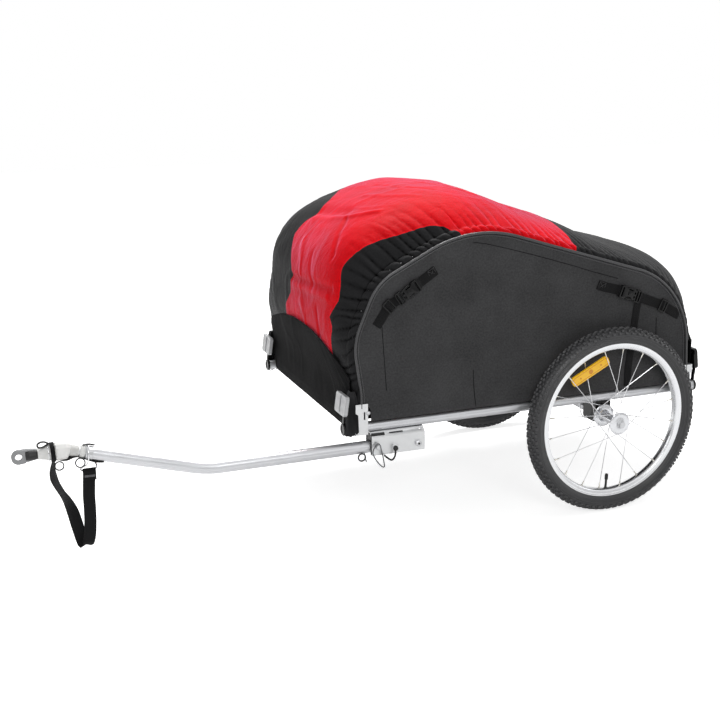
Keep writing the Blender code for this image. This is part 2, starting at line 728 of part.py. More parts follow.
def make_spider(word, side):
    """Hub shell with two flanges, and the spokes laced from them to the rim."""
    y = side * WHEEL_Y
    half = [
        (HUB_BORE_R, HUB_HALF), (10.5, HUB_HALF), (11, FLANGE_Y + 2), (FLANGE_R, FLANGE_Y + 1.6),
        (FLANGE_R, FLANGE_Y - 1.6), (12, FLANGE_Y - 3),
    ]
    profile = half + [(r, -h) for r, h in reversed(half)]
    body = turned("spider_" + word, profile, (0, y, AXLE_Z), Y_AXIS * side, 16, closed=True)
    tip = RIM_R - RIM_DEPTH - 1.5
    spans = []
    for k in range(SPOKES):
        flange = -1 if k % 2 else 1
        group_sign = 1 if (k // 2) % 2 else -1
        end = math.radians(SPOKE_FIRST_DEG + 360.0 * k / SPOKES)
        start = end + math.radians(SPOKE_LACING_DEG) * group_sign
        across, up = SPOKE_FOOT_R * math.cos(start), SPOKE_FOOT_R * math.sin(start)
        foot = (across, y + flange * FLANGE_Y + 1.25 * group_sign, AXLE_Z + up)
        head = (tip * math.cos(end), y + flange * 3.0, AXLE_Z + tip * math.sin(end))
        spans.append((foot, head))
    join(body, rods("spokes_" + word, spans, SPOKE_R, 5), self_cut=True)
    paint(body, "aluminium")


def make_wheels():
    low = RIM_R - RIM_DEPTH
    well = RIM_R - 9.5
    for side, word in ((-1, "left"), (1, "right")):
        y = side * WHEEL_Y
        centre = (0, y, AXLE_Z)
        out = Y_AXIS * side
        paint(turned("tyre_" + word, tyre_profile(), centre, out, WHEEL_STEPS, closed=True), "rubber")
        half = [
            (low, 8), (low + 4, RIM_HALF - 1), (RIM_R, RIM_HALF), (RIM_R, RIM_HALF - 1.5), (well, RIM_HALF - 1.6)
        ]
        profile = half + [(r, -h) for r, h in reversed(half)]
        paint(turned("rim_" + word, profile, centre, out, WHEEL_STEPS, closed=True), "aluminium")
        make_spider(word, side)

        a = math.radians(SPOKE_REFLECTOR_DEG)
        ray = Vector((math.cos(a), 0, math.sin(a)))
        half = [(0, -14.5), (20, -14.5), (64, -12), (70, -8), (70, 5), (64, 10), (20, 14.5), (0, 14.5)]
        outline = half + [(-s, r) for s, r in reversed(half[1:-1])]
        middle = Vector(centre) + ray * SPOKE_REFLECTOR_R
        along = Vector((-ray.z, 0, ray.x))
        paint(plate("spoke_reflector_" + word, outline, 7.6, middle, along, ray), "amber_plastic")

        a = math.radians(VALVE_DEG)
        ray = Vector((math.cos(a), 0, math.sin(a)))
        profile = [(0, 0), (3.2, 0), (3.2, 4), (2.6, 4), (2.6, 24), (4, 25), (4, 38), (2.8, 40), (0, 40)]
        paint(turned("valve_" + word, profile, Vector(centre) + ray * (low - 0.7), -ray, 10), "rubber")

        profile = [
            (0, -96), (AXLE_R, -96), (AXLE_R, -43.4), (10.5, -43.4), (10.5, -41.4), (AXLE_R, -41.4),
            (AXLE_R, 41.4), (11, 41.4), (11, 45), (8, 46.5), (8, 52), (0, 52),
        ]
        paint(turned("axle_" + word, profile, centre, out, 16), "zinc")


# Tow arm


def arm_direction():
    a = math.radians(ARM_RISE_DEG)
    return Vector((-math.cos(a), math.sin(a)))


def arm_front_point(run):
    """A point on the arm's rising front part, measured from the bend's corner."""
    at = Vector((ARM_BEND_X, ARM_Z)) + arm_direction() * run
    return Vector((at.x, ARM_Y, at.y))


def make_arm():
    tip = arm_front_point(ARM_FRONT_RUN)
    path = bent_path([(ARM_REAR, ARM_Z), (ARM_BEND_X, ARM_Z), (tip.x, tip.z)], [ARM_BEND_R], 4.0)
    body = bent_tube("tow_arm", [(p.x, ARM_Y, p.y) for p in path], ARM_R, ARM_WALL, 4)
    ends = ((PIVOT[0], ARM_Y - 20, PIVOT[1]), (PIVOT[0], ARM_Y + 20, PIVOT[1]))
    cut(body, rods("arm_pivot_hole", [ends], 5.3, 12))
    # The lock hole is open at the top, hidden inside the channel, so the arm can swing down off the pin
    x, z = LOCK
    cut(body, box("arm_lock_slot", (x - 4.7, ARM_Y - 20, z - 4.7), (x + 5.6, ARM_Y + 20, ARM_Z + 20)))
    paint(body, "aluminium")

    d = Vector((arm_direction().x, 0, arm_direction().y))
    profile = [
        (0, -18), (ARM_R - 2.9, -18), (ARM_R - 2.9, 0.3), (ARM_R + 0.5, 0.3), (ARM_R + 0.5, 16), (12.5, 18),
        (11.5, 20), (11.5, PLUG_RUN), (0, PLUG_RUN),
    ]
    paint(turned("arm_end_plug", profile, tip, d, 16), "zinc")


def head_frame():
    """Where the coupler starts, and its forward and upward directions."""
    a = math.radians(HEAD_DROP_DEG)
    forward = Vector((-math.cos(a), 0, -math.sin(a)))
    return Vector((HEAD_START[0], ARM_Y, HEAD_START[1])), forward, Y_AXIS.cross(forward)


def make_coupler():
    """Cast block, bell, rubber core and flat lug with an eye."""
    start, forward, up = head_frame()
    # The block's rear face is square to the arm, and the rest of it is square to the coupler
    d = arm_direction()
    arm_up = Vector((d.y, 0, -d.x))
    rear = arm_front_point(ARM_FRONT_RUN + PLUG_RUN + 0.3)
    sections = [
        (rear, arm_up, 14.0, 14.0), (start + forward * 4, up, 17.0, 17.5),
        (start + forward * 26, up, 18.0, 18.5), (start + forward * 29.5, up, 15.0, 16.0),
    ]
    corner = 0.62
    ring = [(1, corner), (corner, 1), (-corner, 1), (-1, corner)]
    ring += [(-a, -b) for a, b in ring]
    rings = [[at + Y_AXIS * (wide * a) + lift * (tall * b) for a, b in ring] for at, lift, wide, tall in sections]
    paint(loft("coupler_block", rings), "zinc")

    profile = [
        (0, 29.8), (19.5, 29.8), (20.3, 32), (20.3, 36), (17.5, 41), (14.5, 52), (12.6, 63), (12.2, 66),
        (10.2, 66), (9.7, 62), (0, 62),
    ]
    paint(turned("coupler_bell", profile, start, forward, 16), "zinc")

    rings = []
    for s, wide, tall in ((62.3, 9.0, 9.0), (67, 9.6, 9.6), (70, 10.5, 11.0), (84, 10.5, 11.5), (92, 7.5, 9.5)):
        angles = [2 * math.pi * (k + 0.5) / 16 for k in range(16)]
        middle = start + forward * s
        rings.append([middle + Y_AXIS * (wide * math.cos(a)) + up * (tall * math.sin(a)) for a in angles])
    paint(loft("flex_core", rings), "rubber")

    eye, outer_r = 107.0, 16.0
    outline = [(outer_r * math.cos(math.radians(d)), outer_r * math.sin(math.radians(d))) for d in range(-105, 106, 15)]
    outline += [(92.4 - eye, 15.0), (92.4 - eye, -15.0)]
    centre = start + forward * eye
    lug = plate("hitch_lug", outline, 10.0, centre, forward, up)
    cut(lug, rods("lug_hole", [(centre - Y_AXIS * 20, centre + Y_AXIS * 20)], 8.0, 20))
    paint(lug, "aluminium")


def make_safety_strap():
    """Clamp with a wire ring below the arm, and the safety webbing that hangs from it in a loop."""
    d = Vector((arm_direction().x, 0, arm_direction().y))
    centre = arm_front_point(262.0)
    up = Vector((-d.z, 0, d.x)) * -1
    wire = 2.5
    r = ARM_R + wire + 0.4
    path = [centre + Y_AXIS * 20 + up * -44 + d * 6]
    for deg in range(-35, 216, 25):
        a = math.radians(deg)
        path.append(centre + Y_AXIS * (r * math.cos(a)) + up * (r * math.sin(a)))
    path.append(centre + Y_AXIS * -20 + up * -44 + d * 6)
    paint(bar("strap_ring", path, wire, 2, closed=True), "zinc")

    # Centre and width direction of the webbing at each station
    stations = [
        ((-1358, -321, 281.5), (0.25, 0.97, 0)), ((-1359, -325, 240), (0.75, 0.66, 0)),
        ((-1360, -328, 200), (1, 0, 0)), ((-1361, -328, 130), (1, 0, 0)), ((-1364, -326, 110), (1, 0, 0)),
        ((-1369, -322, 102.2), (1, 0.05, 0)), ((-1377, -318, 110), (0.98, 0.1, 0.1)),
        ((-1391, -316, 150), (0.93, 0.2, 0.3)), ((-1405, -317, 195), (0.75, 0.6, 0.3)),
        ((-1419, -320, 240), (0.3, 0.92, 0.15)), ((-1428, -323, 275), (0.12, 0.99, 0.03)),
        ((-1432, -324, 312.0), (0.05, 1, 0)),
    ]

    def webbing(i, j):
        ahead = Vector(stations[min(i + 1, len(stations) - 1)][0])
        behind = Vector(stations[max(i - 1, 0)][0])
        tangent = (ahead - behind).normalized()
        wide = Vector(stations[i][1])
        wide = (wide - tangent * wide.dot(tangent)).normalized()
        return Vector(stations[i][0]) + wide * ((j - 0.5) * STRAP_W)

    paint(cloth("safety_strap", len(stations), 2, webbing, STRAP_T, 0.0), "black_fabric")


def make_lock_pin():
    """Wire-lock pin through the channel and the arm, with its bail hanging at the near side."""
    x, z = LOCK
    profile = [(0, 0), (3.2, 0), (4.3, 2), (4.3, 47.5), (7.5, 47.5), (7.5, 53), (6, 55), (0, 55)]
    paint(turned("lock_pin", profile, (x, ARM_Y + BRACKET_HALF + 5.8, z), -Y_AXIS, 16), "zinc")
    y = ARM_Y - BRACKET_HALF - 9.0
    loop = ((-9, 3), (-10.5, -8), (-7, -34), (3, -52), (10, -52), (11.5, -34), (9, -8), (8.8, 3), (0, 9.5))
    path = [(x + a, y, z + b) for a, b in loop]
    paint(bar("pin_bail", path, 1.2, 1, closed=True), "zinc")


def hang_on_pivots():
    """Each moving piece hangs on an empty at its joint."""
    start = (HEAD_START[0], ARM_Y, HEAD_START[1])
    arm = ("tow_arm", "arm_end_plug", "coupler_block", "coupler_bell", "strap_ring", "safety_strap")
    carry("arm_pivot", (PIVOT[0], ARM_Y, PIVOT[1]), arm)
    carry("hitch_swivel", start, ("flex_core", "hitch_lug"))
    carry("pin_seat", (LOCK[0], ARM_Y, LOCK[1]), ("lock_pin", "pin_bail"))
    for side, word in ((-1, "left"), (1, "right")):
        sides = ("hoop_", "side_panel_", "buckle_front_", "buckle_rear_")
        carry("side_hinge_" + word, (-222, side * RAIL_Y, HINGE_Z), [name + word for name in sides])
        carry("axle_seat_" + word, (0, side * WHEEL_Y, AXLE_Z), ("axle_" + word,))
        wheel = ("tyre_", "rim_", "spider_", "spoke_reflector_", "valve_")
        carry("wheel_centre_" + word, (0, side * WHEEL_Y, AXLE_Z), [name + word for name in wheel])


STATIONS = resample(hoop_path(), 60)


def main():
    clear_scene()
    make_rails()
    make_cross_tubes()
    make_floor()
    make_receivers()
    make_hoop_brackets()
    make_hitch_bracket()
    make_end_panels()
    make_hoops()
    make_side_panels()
    make_buckles()
    make_cover()
    make_reflectors()
    make_wheels()
    make_arm()
    make_coupler()
    make_safety_strap()
    make_lock_pin()
    hang_on_pivots()


main()
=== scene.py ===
"""Looks of a two-wheel cargo trailer for a bicycle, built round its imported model.

Sizes are in millimetres in the trailer's own axes, as in the part's source: x = 0 at the wheel axle, the
tow arm points to -X, the arm's side is -Y, z = 0 is the ground. place() turns them into the frame's metres.
"""

import json
import math

import bmesh
import bpy
import numpy as np
from bpy.props import FloatProperty, IntProperty, PointerProperty, StringProperty
from mathutils import Matrix, Vector


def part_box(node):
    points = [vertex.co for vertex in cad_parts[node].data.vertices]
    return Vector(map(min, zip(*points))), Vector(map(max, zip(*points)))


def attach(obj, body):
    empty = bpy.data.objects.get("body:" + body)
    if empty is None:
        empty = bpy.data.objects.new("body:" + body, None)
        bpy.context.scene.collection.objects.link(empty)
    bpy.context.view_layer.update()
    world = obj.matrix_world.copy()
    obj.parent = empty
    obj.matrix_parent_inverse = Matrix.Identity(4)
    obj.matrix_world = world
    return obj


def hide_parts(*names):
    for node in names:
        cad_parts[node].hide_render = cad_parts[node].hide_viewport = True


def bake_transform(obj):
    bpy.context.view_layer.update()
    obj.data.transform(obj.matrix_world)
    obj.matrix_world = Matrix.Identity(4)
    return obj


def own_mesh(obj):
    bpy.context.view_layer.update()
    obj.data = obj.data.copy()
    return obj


bl_info = {
    "name": "Bicycle cargo trailer",
    "version": (1, 0, 0),
    "blender": (4, 5, 0),
    "location": "View3D > Sidebar > Trailer",
    "description": "Dresses the packed cargo trailer with its cloth, wheels, coupler and materials",
    "category": "Object",
}

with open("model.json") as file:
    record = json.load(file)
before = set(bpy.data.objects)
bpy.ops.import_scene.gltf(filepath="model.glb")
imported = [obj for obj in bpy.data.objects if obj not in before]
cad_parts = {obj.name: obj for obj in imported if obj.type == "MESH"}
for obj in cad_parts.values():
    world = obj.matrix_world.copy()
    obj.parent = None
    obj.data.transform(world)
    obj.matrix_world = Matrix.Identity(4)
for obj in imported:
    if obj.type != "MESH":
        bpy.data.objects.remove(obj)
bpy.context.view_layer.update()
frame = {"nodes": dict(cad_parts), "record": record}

MM = 0.001
X_SHIFT = 588.3

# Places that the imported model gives, repeated here in its own millimetres
TUBE_R = 12.7
RAIL_Y = 320.0
RAIL_Z = 301.5
RAIL_FRONT, RAIL_REAR = -733.0, 283.0
CROSS_FRONT_X, CROSS_REAR_X = -700.0, 258.0
HOOP_CORNERS = [(-695, 330), (-695, 392), (-714, 519), (-653, 663), (-403, 789), (234, 594), (251, 330)]
HOOP_BENDS = [250, 150, 130, 320, 230]
LEG_X = (-695.0, 250.0)
HINGE_Z = 341.0
COVER_T = (0.07, 0.39, 0.61, 0.93)
WHEEL_Y = 369.0
AXLE_Z = 250.5
TYRE_R = 250.5
RIM_R = 209.0
RIM_DEPTH = 18.0
SPOKES = 20
SPOKE_FIRST_DEG = 10.0
SPOKE_LACING_DEG = 72.0
FLANGE_R = 30.0
FLANGE_Y = 38.0
VALVE_DEG = -92.5
SPOKE_REFLECTOR_DEG = 117.4
ARM_Y = -321.0
ARM_Z = 249.0
ARM_R = 15.5
ARM_REAR = -530.0
ARM_BEND_X = -1081.0
ARM_BEND_R = 250.0
ARM_RISE_DEG = 15.8
ARM_FRONT_RUN = 272.0
PIVOT = (-546.0, 249.0)
STUD = (-606.0, 245.0)
BRACKET_X = (-670.0, -527.0)
BRACKET_Z = (230.0, 288.4)
BRACKET_HALF = 20.5
HEAD_START = (-1396.0, 338.4)
HEAD_DROP_DEG = 2.0

# The camera of the reference view
CAM_PLACE = (-1670.614, -2871.808, 1219.183)
CAM_AZIMUTH = -20.995
CAM_ELEVATION = 15.27
CAM_ROLL = -0.402
CAM_FOCAL_PX = 1169.333
PHOTO_PX = 720.0

X_AXIS, Y_AXIS, Z_AXIS = Vector((1, 0, 0)), Vector((0, 1, 0)), Vector((0, 0, 1))
SIDES = ((-1, "left"), (1, "right"))
# The bay's two ends: their direction along the trailer and the place of the hoops' feet
ENDS = (("front", -1, LEG_X[0]), ("rear", 1, LEG_X[1]))


# Settings that a user would change


class CargoTrailerColours(bpy.types.PropertyGroup):
    """Colours, as sRGB hex values."""

    red_cloth: StringProperty(name="Cover", description="Coated nylon of the middle", default="#F0101A")
    black_cloth: StringProperty(name="Shoulders", description="Coated nylon of the black parts",
                                default="#222223")
    side_cloth: StringProperty(name="Sides", description="Woven polyester of the side walls",
                               default="#454546")
    front_cloth: StringProperty(name="Front", description="Woven polyester of the front wall",
                                default="#0E0E0F")
    webbing: StringProperty(name="Webbing", description="Polyester webbing of all straps",
                            default="#101011")
    aluminium: StringProperty(name="Tubes", description="Anodised aluminium tubes", default="#D6D7DA")
    sheet_steel: StringProperty(name="Brackets", description="Zinc plated brackets", default="#DADBDC")
    tyre: StringProperty(name="Tyre", description="Rubber of the tyres", default="#232324")
    amber: StringProperty(name="Spoke reflector", description="Amber acrylic", default="#FFC11E")
    floor: StringProperty(name="Floor", description="Studio floor", default="#F4F4F4")


class CargoTrailerSizes(bpy.types.PropertyGroup):
    """Sizes that shape the cloth and the tyres."""

    cell: FloatProperty(
        name="Cloth cell", description="Size of one cell of the cover's cloth", default=0.0036, min=0.003,
        max=0.03, unit="LENGTH"
    )
    gather: FloatProperty(
        name="Gathers", description="Height of the puckers along the piping", default=0.0092, min=0.0,
        max=0.015, unit="LENGTH"
    )
    piping: FloatProperty(
        name="Piping", description="Radius of the piping cord", default=0.0034, min=0.001, max=0.005,
        unit="LENGTH"
    )
    knobs: IntProperty(name="Knobs", description="Knobs in one row round a tyre", default=78, min=20,
                       max=140)
    knob_height: FloatProperty(
        name="Knob height", description="Height of the tyre's knobs", default=0.0042, min=0.0005, max=0.006,
        unit="LENGTH"
    )


# Materials


def linear(hex_value):
    """An sRGB hex colour as linear red, green, blue and alpha."""
    text = hex_value.lstrip("#")
    channels = [int(text[i:i + 2], 16) / 255 for i in (0, 2, 4)]
    return (*[c / 12.92 if c <= 0.04045 else ((c + 0.055) / 1.055) ** 2.4 for c in channels], 1.0)


def shade(hex_value, amount):
    """The same colour, linear, made lighter or darker by a factor."""
    colour = linear(hex_value)
    return (*[min(1.0, c * amount) for c in colour[:3]], 1.0)


def add_node(owner, kind, inputs=None, **settings):
    """Add a node to a material or world: settings go on it, inputs on its sockets as values or links."""
    tree = owner.node_tree
    node = tree.nodes.new(kind)
    for name, value in settings.items():
        setattr(node, name, value)
    for name, value in (inputs or {}).items():
        if isinstance(value, bpy.types.NodeSocket):
            tree.links.new(value, node.inputs[name])
        else:
            node.inputs[name].default_value = value
    return node


def start_material(name, **sockets):
    """A material and its shader, with uniform values set on the shader's own sockets."""
    mat = bpy.data.materials.new(name)
    mat.use_nodes = True
    shader = mat.node_tree.nodes["Principled BSDF"]
    for socket, value in sockets.items():
        shader.inputs[socket.replace("_", " ")].default_value = value
    return mat, shader


def blend_colours(mat, factor, low, high):
    """A ramp from one colour to another over a pattern."""
    ramp = add_node(mat, "ShaderNodeValToRGB", {"Fac": factor})
    ramp.color_ramp.elements[0].color = low
    ramp.color_ramp.elements[1].color = high
    return ramp.outputs["Color"]


def coordinates(mat, kind):
    """Where a point lies: UV is in metres on cloth and webbing, Object in metres on solids."""
    return add_node(mat, "ShaderNodeTexCoord").outputs[kind]


def noise(mat, at, scale, detail=2.0, **inputs):
    """A cloudy pattern from 0 to 1."""
    inputs = {"Vector": at, "Scale": scale, "Detail": detail, **inputs}
    return add_node(mat, "ShaderNodeTexNoise", inputs).outputs["Fac"]


# Width of one band of the wave texture at Scale 1, close to 2 pi / 20, in metres
BAND = 20 / 62.8


def waves(mat, uv, width, direction, distortion):
    """Threads side by side, each of a width in millimetres."""
    inputs = {"Vector": uv, "Scale": BAND * 1000 / width, "Distortion": distortion}
    return add_node(mat, "ShaderNodeTexWave", inputs, bands_direction=direction).outputs["Fac"]


def calculate(mat, operation, first, second):
    """Two values added, multiplied or compared."""
    return add_node(mat, "ShaderNodeMath", {0: first, 1: second}, operation=operation).outputs["Value"]


def link_sockets(mat, shader, **patterns):
    """Let patterns drive the shader's sockets."""
    for socket, pattern in patterns.items():
        mat.node_tree.links.new(pattern, shader.inputs[socket.replace("_", " ")])


def span(mat, value, low, high, start=0.0, end=1.0):
    """A pattern's range moved to another range."""
    limits = {"Value": value, "From Min": start, "From Max": end, "To Min": low, "To Max": high}
    return add_node(mat, "ShaderNodeMapRange", limits).outputs["Result"]


def bump(mat, height, distance, strength=1.0, normal=None):
    """A relief of a depth in metres, over another relief where one is given."""
    inputs = {"Height": height, "Distance": distance, "Strength": strength}
    if normal is not None:
        inputs["Normal"] = normal
    return add_node(mat, "ShaderNodeBump", inputs).outputs["Normal"]


def worn_edges(mat, colour, low, high, reach=0.05):
    """A colour with painted shade in its hollows and a painted highlight on its crests, read from the
    surface's curvature.
    """
    bend = add_node(mat, "ShaderNodeNewGeometry").outputs["Pointiness"]
    value = span(mat, bend, low, high, 0.5 - reach, 0.5 + reach)
    factor = add_node(mat, "ShaderNodeCombineXYZ", {"X": value, "Y": value, "Z": value}).outputs["Vector"]
    return add_node(mat, "ShaderNodeVectorMath", {0: colour, 1: factor}, operation="MULTIPLY").outputs[0]


def cloth_material(name, colour, weave, rough, sheen, crinkle, pale=1.16, dark=0.84, tint="#FFFFFF",
                   gloss=0.25, fold=(0.9, 1.1), nap=0.32):
    """Woven cloth: threads from the UV map, in metres on the cloth, over cloudy wear and fine crinkles; fold
    sets its painted shade in hollows and painted highlight on crests.
    """
    mat, shader = start_material(
        name, Sheen_Weight=sheen, Sheen_Roughness=nap, Sheen_Tint=linear(tint), Specular_IOR_Level=gloss
    )
    uv = coordinates(mat, "UV")
    wear = calculate(mat, "ADD", noise(mat, uv, 9.0, 4.0), noise(mat, uv, 1000 / (weave * 1.7)))
    tone = span(mat, wear, 0.0, 1.0, 0.7, 1.3)
    dyed = blend_colours(mat, tone, shade(colour, dark), shade(colour, pale))
    warp, weft = (waves(mat, uv, weave, direction, 0.4) for direction in ("X", "Y"))
    fine = bump(mat, calculate(mat, "MULTIPLY", warp, weft), weave * 0.10 * MM, 0.6)
    soft = noise(mat, uv, 34.0, 5.0, Roughness=0.55, Distortion=0.6)
    link_sockets(
        # Base colour: painted shade in the cloth's hollows and painted highlights on its crests, read from
        # curvature
        mat, shader, Base_Color=worn_edges(mat, dyed, *fold),
        Normal=bump(mat, soft, crinkle * MM, 1.0, fine),
        Roughness=span(mat, tone, rough - 0.06, rough + 0.06)
    )
    return mat


def metal_material(name, colour, rough, grain=0.0, direction="X", scatter=0.05, metallic=1.0):
    """Bare or plated metal with faint smudges, and fine drawn lines along one direction if grain is set."""
    mat, shader = start_material(name, Base_Color=linear(colour), Metallic=metallic)
    at = coordinates(mat, "Object")
    smudge = noise(mat, at, 26.0, 5.0)
    link_sockets(
        mat, shader, Roughness=span(mat, smudge, rough - scatter, rough + scatter, 0.3, 0.7),
        Base_Color=blend_colours(mat, smudge, shade(colour, 0.93), shade(colour, 1.03))
    )
    if grain > 0:
        stretch = [60 if axis == direction else 2600 for axis in "XYZ"]
        drawn = add_node(mat, "ShaderNodeMapping", {"Vector": at, "Scale": stretch}).outputs["Vector"]
        link_sockets(mat, shader, Normal=bump(mat, noise(mat, drawn, 1.0), grain * MM))
    return mat


def moulded_material(name, colour, rough, texture_mm=0.6, depth=0.04, coat=0.0, pale=1.25, edge=(0.85, 1.5),
                     gloss=0.5):
    """Moulded plastic or rubber: a fine eroded texture, slight wear in its tone, and painted shade in
    hollows with painted highlights on edges, as edge sets them.
    """
    mat, shader = start_material(name, Coat_Weight=coat, Specular_IOR_Level=gloss)
    at = coordinates(mat, "Object")
    cloudy = noise(mat, at, 40.0, 4.0)
    tone = blend_colours(mat, cloudy, shade(colour, 0.8), shade(colour, pale))
    link_sockets(
        # Base colour: painted shade in hollows and painted highlights on edges, read from curvature
        mat, shader, Base_Color=worn_edges(mat, tone, *edge, 0.12),
        Roughness=span(mat, cloudy, rough - 0.07, rough + 0.07, 0.3, 0.7),
        Normal=bump(mat, noise(mat, at, 1000 / texture_mm), depth * MM)
    )
    return mat


def webbing_material(name, colour, rib=2.6, twill=1.4):
    """Polyester webbing: ribs across it and a twill along it. Its UV map runs along it in metres."""
    mat, shader = start_material(name, Roughness=0.75, Sheen_Weight=0.1, Specular_IOR_Level=0.12)
    uv = coordinates(mat, "UV")
    both = calculate(mat, "ADD", waves(mat, uv, rib, "X", 0.3), waves(mat, uv, twill, "Y", 0.3))
    tone = span(mat, both, 0, 1, 0.2, 1.8)
    link_sockets(
        mat, shader, Base_Color=blend_colours(mat, tone, shade(colour, 0.6), shade(colour, 1.9)),
        Normal=bump(mat, both, 0.35 * MM)
    )
    return mat


def reflector_material(name, colour, glow=0.0, cell=3.2):
    """Acrylic reflector: clear gloss outside, small cube corners behind it that catch the light, and a
    painted glow in its own colour, as strong as the glow that is given.
    """
    mat, shader = start_material(
        name, Roughness=0.2, IOR=1.49, Coat_Weight=0.3, Coat_Roughness=0.05, Emission_Color=linear(colour),
        Emission_Strength=glow
    )
    inputs = {"Vector": coordinates(mat, "Object"), "Scale": 1000 / cell, "Randomness": 0.15}
    corners = add_node(mat, "ShaderNodeTexVoronoi", inputs).outputs["Distance"]
    link_sockets(
        mat, shader, Base_Color=blend_colours(mat, corners, shade(colour, 1.15), shade(colour, 0.72)),
        Normal=bump(mat, corners, 0.5 * MM, 0.6)
    )
    return mat


MATERIALS = {}


def finish_of(key):
    """A finish by its key, made once."""
    if key not in MATERIALS:
        MATERIALS[key] = FINISHES[key]()
    return MATERIALS[key]


def colours():
    """The colours that the panel shows."""
    return bpy.context.scene.cargo_trailer_colours


def sizes():
    """The sizes that the panel shows."""
    return bpy.context.scene.cargo_trailer_sizes


FINISHES = {
    # Coated nylon, woven: a strong red that goes pale where light grazes its coating, with painted shade in
    # its creases and a faint painted highlight on its crests
    "red_nylon": lambda: cloth_material("red_coated_nylon", colours().red_cloth, 2.2, 0.5, 0.9, 2.6,
                                        tint="#FFA6D0", gloss=0.03, fold=(0.6, 1.06), nap=0.3),
    # Coated nylon, woven: strong painted shade in each pucker's valley and a soft charcoal painted highlight
    # on its crest
    "black_nylon": lambda: cloth_material("black_coated_nylon", colours().black_cloth, 2.2, 0.4, 0.03, 2.0,
                                          gloss=0.03, fold=(0.05, 2.2)),
    # Plain woven polyester, 600 denier: an even dark grey with a dry grain
    "side": lambda: cloth_material("side_woven_polyester", colours().side_cloth, 2.8, 0.8, 0.1, 0.5, 1.3,
                                   0.72, gloss=0.1),
    # Plain woven polyester, near black, that swallows light
    "front": lambda: cloth_material("front_woven_polyester", colours().front_cloth, 2.8, 0.85, 0.02, 0.7,
                                    1.12, 0.9, gloss=0.08),
    # Bias tape sewn over a cord: smooth, slightly shiny, so that a thin light line runs along it
    "piping": lambda: cloth_material("piping_bias_tape", "#38383A", 1.6, 0.36, 0.3, 0.1, gloss=0.6),
    # Woven polyester webbing with its cross ribs
    "webbing": lambda: webbing_material("polyester_webbing", colours().webbing),
    # Anodised aluminium tube, drawn: satin white highlights with faint lines along the tube
    "tube": lambda: metal_material("anodised_aluminium_tube", colours().aluminium, 0.33, 0.0006, "X",
                                   metallic=0.7),
    # The same tube, lying across
    "cross": lambda: metal_material("anodised_aluminium_cross_tube", colours().aluminium, 0.33, 0.0006, "Y",
                                    metallic=0.7),
    # Rolled and polished aluminium: brighter than the tubes, with a fine turned line
    "rim": lambda: metal_material("polished_aluminium_rim", "#E4E5E7", 0.2, 0.002, "Y"),
    # Die cast and polished aluminium hub
    "hub": lambda: metal_material("polished_aluminium_hub", "#DCDDE0", 0.22),
    # Drawn stainless steel wire, bright
    "spoke": lambda: metal_material("stainless_steel_spoke", "#E8E8EA", 0.18),
    # Nickel plated brass
    "nipple": lambda: metal_material("nickel_plated_brass", "#D9D6CE", 0.2),
    # Pressed steel, bright zinc plating: pale, dull, faintly clouded
    "bracket": lambda: metal_material("zinc_plated_steel_sheet", colours().sheet_steel, 0.42, scatter=0.09),
    # Turned steel, bright zinc plating
    "bolt": lambda: metal_material("zinc_plated_steel_bolt", "#C9CACC", 0.32),
    # Die cast zinc, shot blasted: pale grey and matt with a fine pebble
    "cast": lambda: moulded_material("blasted_die_cast_zinc", "#DCDCDA", 0.4, 1.2, 0.06, pale=1.04),
    # Forged aluminium, tumbled: mid grey, soft gloss
    "lug": lambda: metal_material("tumbled_forged_aluminium", "#8F9091", 0.42, scatter=0.08),
    # Chrome plated spring wire
    "chrome": lambda: metal_material("chrome_plated_wire", "#E6E7E9", 0.12),
    # Injection moulded nylon with a fine eroded texture, painted grey highlights on its edges and painted
    # shade in its hollows
    "plastic": lambda: moulded_material("moulded_black_nylon", "#080809", 0.2, coat=0.0, gloss=0.3),
    # Moulded natural rubber: matt and slightly dusty
    "rubber": lambda: moulded_material("moulded_black_rubber", "#0F0F0F", 0.5, 1.0, 0.05),
    # Vulcanised tyre rubber: matt black, with painted highlights that grey the knobs' edges and painted
    # shade between the knobs
    "tyre": lambda: moulded_material("vulcanised_tyre_rubber", colours().tyre, 0.42, 1.4, 0.08, pale=1.5,
                                     edge=(0.5, 3.4)),
    # Clear prismatic acrylic, pale grey with small bright cells
    "clear": lambda: reflector_material("clear_prismatic_acrylic", "#C9CACC"),
    # The same acrylic in deep red
    "red_lens": lambda: reflector_material("red_prismatic_acrylic", "#B0101A"),
    # The same acrylic in amber, with a faint painted glow
    "amber": lambda: reflector_material("amber_prismatic_acrylic", colours().amber, 0.22),
    # Drawn spring steel wire, oiled: darker than chrome, with a thin bright line
    "bail": lambda: metal_material("oiled_spring_steel_wire", "#6A6B6D", 0.22),
    # Steel wire under black lacquer
    "split_ring": lambda: moulded_material("black_lacquered_steel_wire", "#1C1C1D", 0.3, coat=0.4),
    # The same acrylic, thicker at the frame, so it looks deeper, with a fainter painted glow
    "amber_deep": lambda: reflector_material("amber_acrylic_frame", "#E39412", 0.08),
    # Clear acrylic rib that shows the grey of its back
    "plastic_grey": lambda: moulded_material("grey_backed_acrylic", "#7E8082", 0.35),
    # Bonded polyester thread, grey with wear
    "thread": lambda: moulded_material("bonded_polyester_thread", "#5A5A5C", 0.6),
}


# Shapes


def place(x, y, z):
    """A point of the trailer, from its own millimetres to the frame's metres."""
    return Vector(((x + X_SHIFT) * MM, y * MM, z * MM))


BODY_OF = {node: body for body, nodes in frame["record"]["behaviour"]["bodies"].items() for node in nodes}


def dress(obj, finish, body=None, stands_for=None):
    """Give a piece its finish and slot, its body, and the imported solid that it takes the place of."""
    obj.data.materials.clear()
    obj.data.materials.append(finish_of(finish))
    if body:
        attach(obj, body)
    if stands_for:
        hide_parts(stands_for)
    return obj


def new_object(name, data):
    """An object with its data, in the scene."""
    obj = bpy.data.objects.new(name, data)
    bpy.context.scene.collection.objects.link(obj)
    return obj


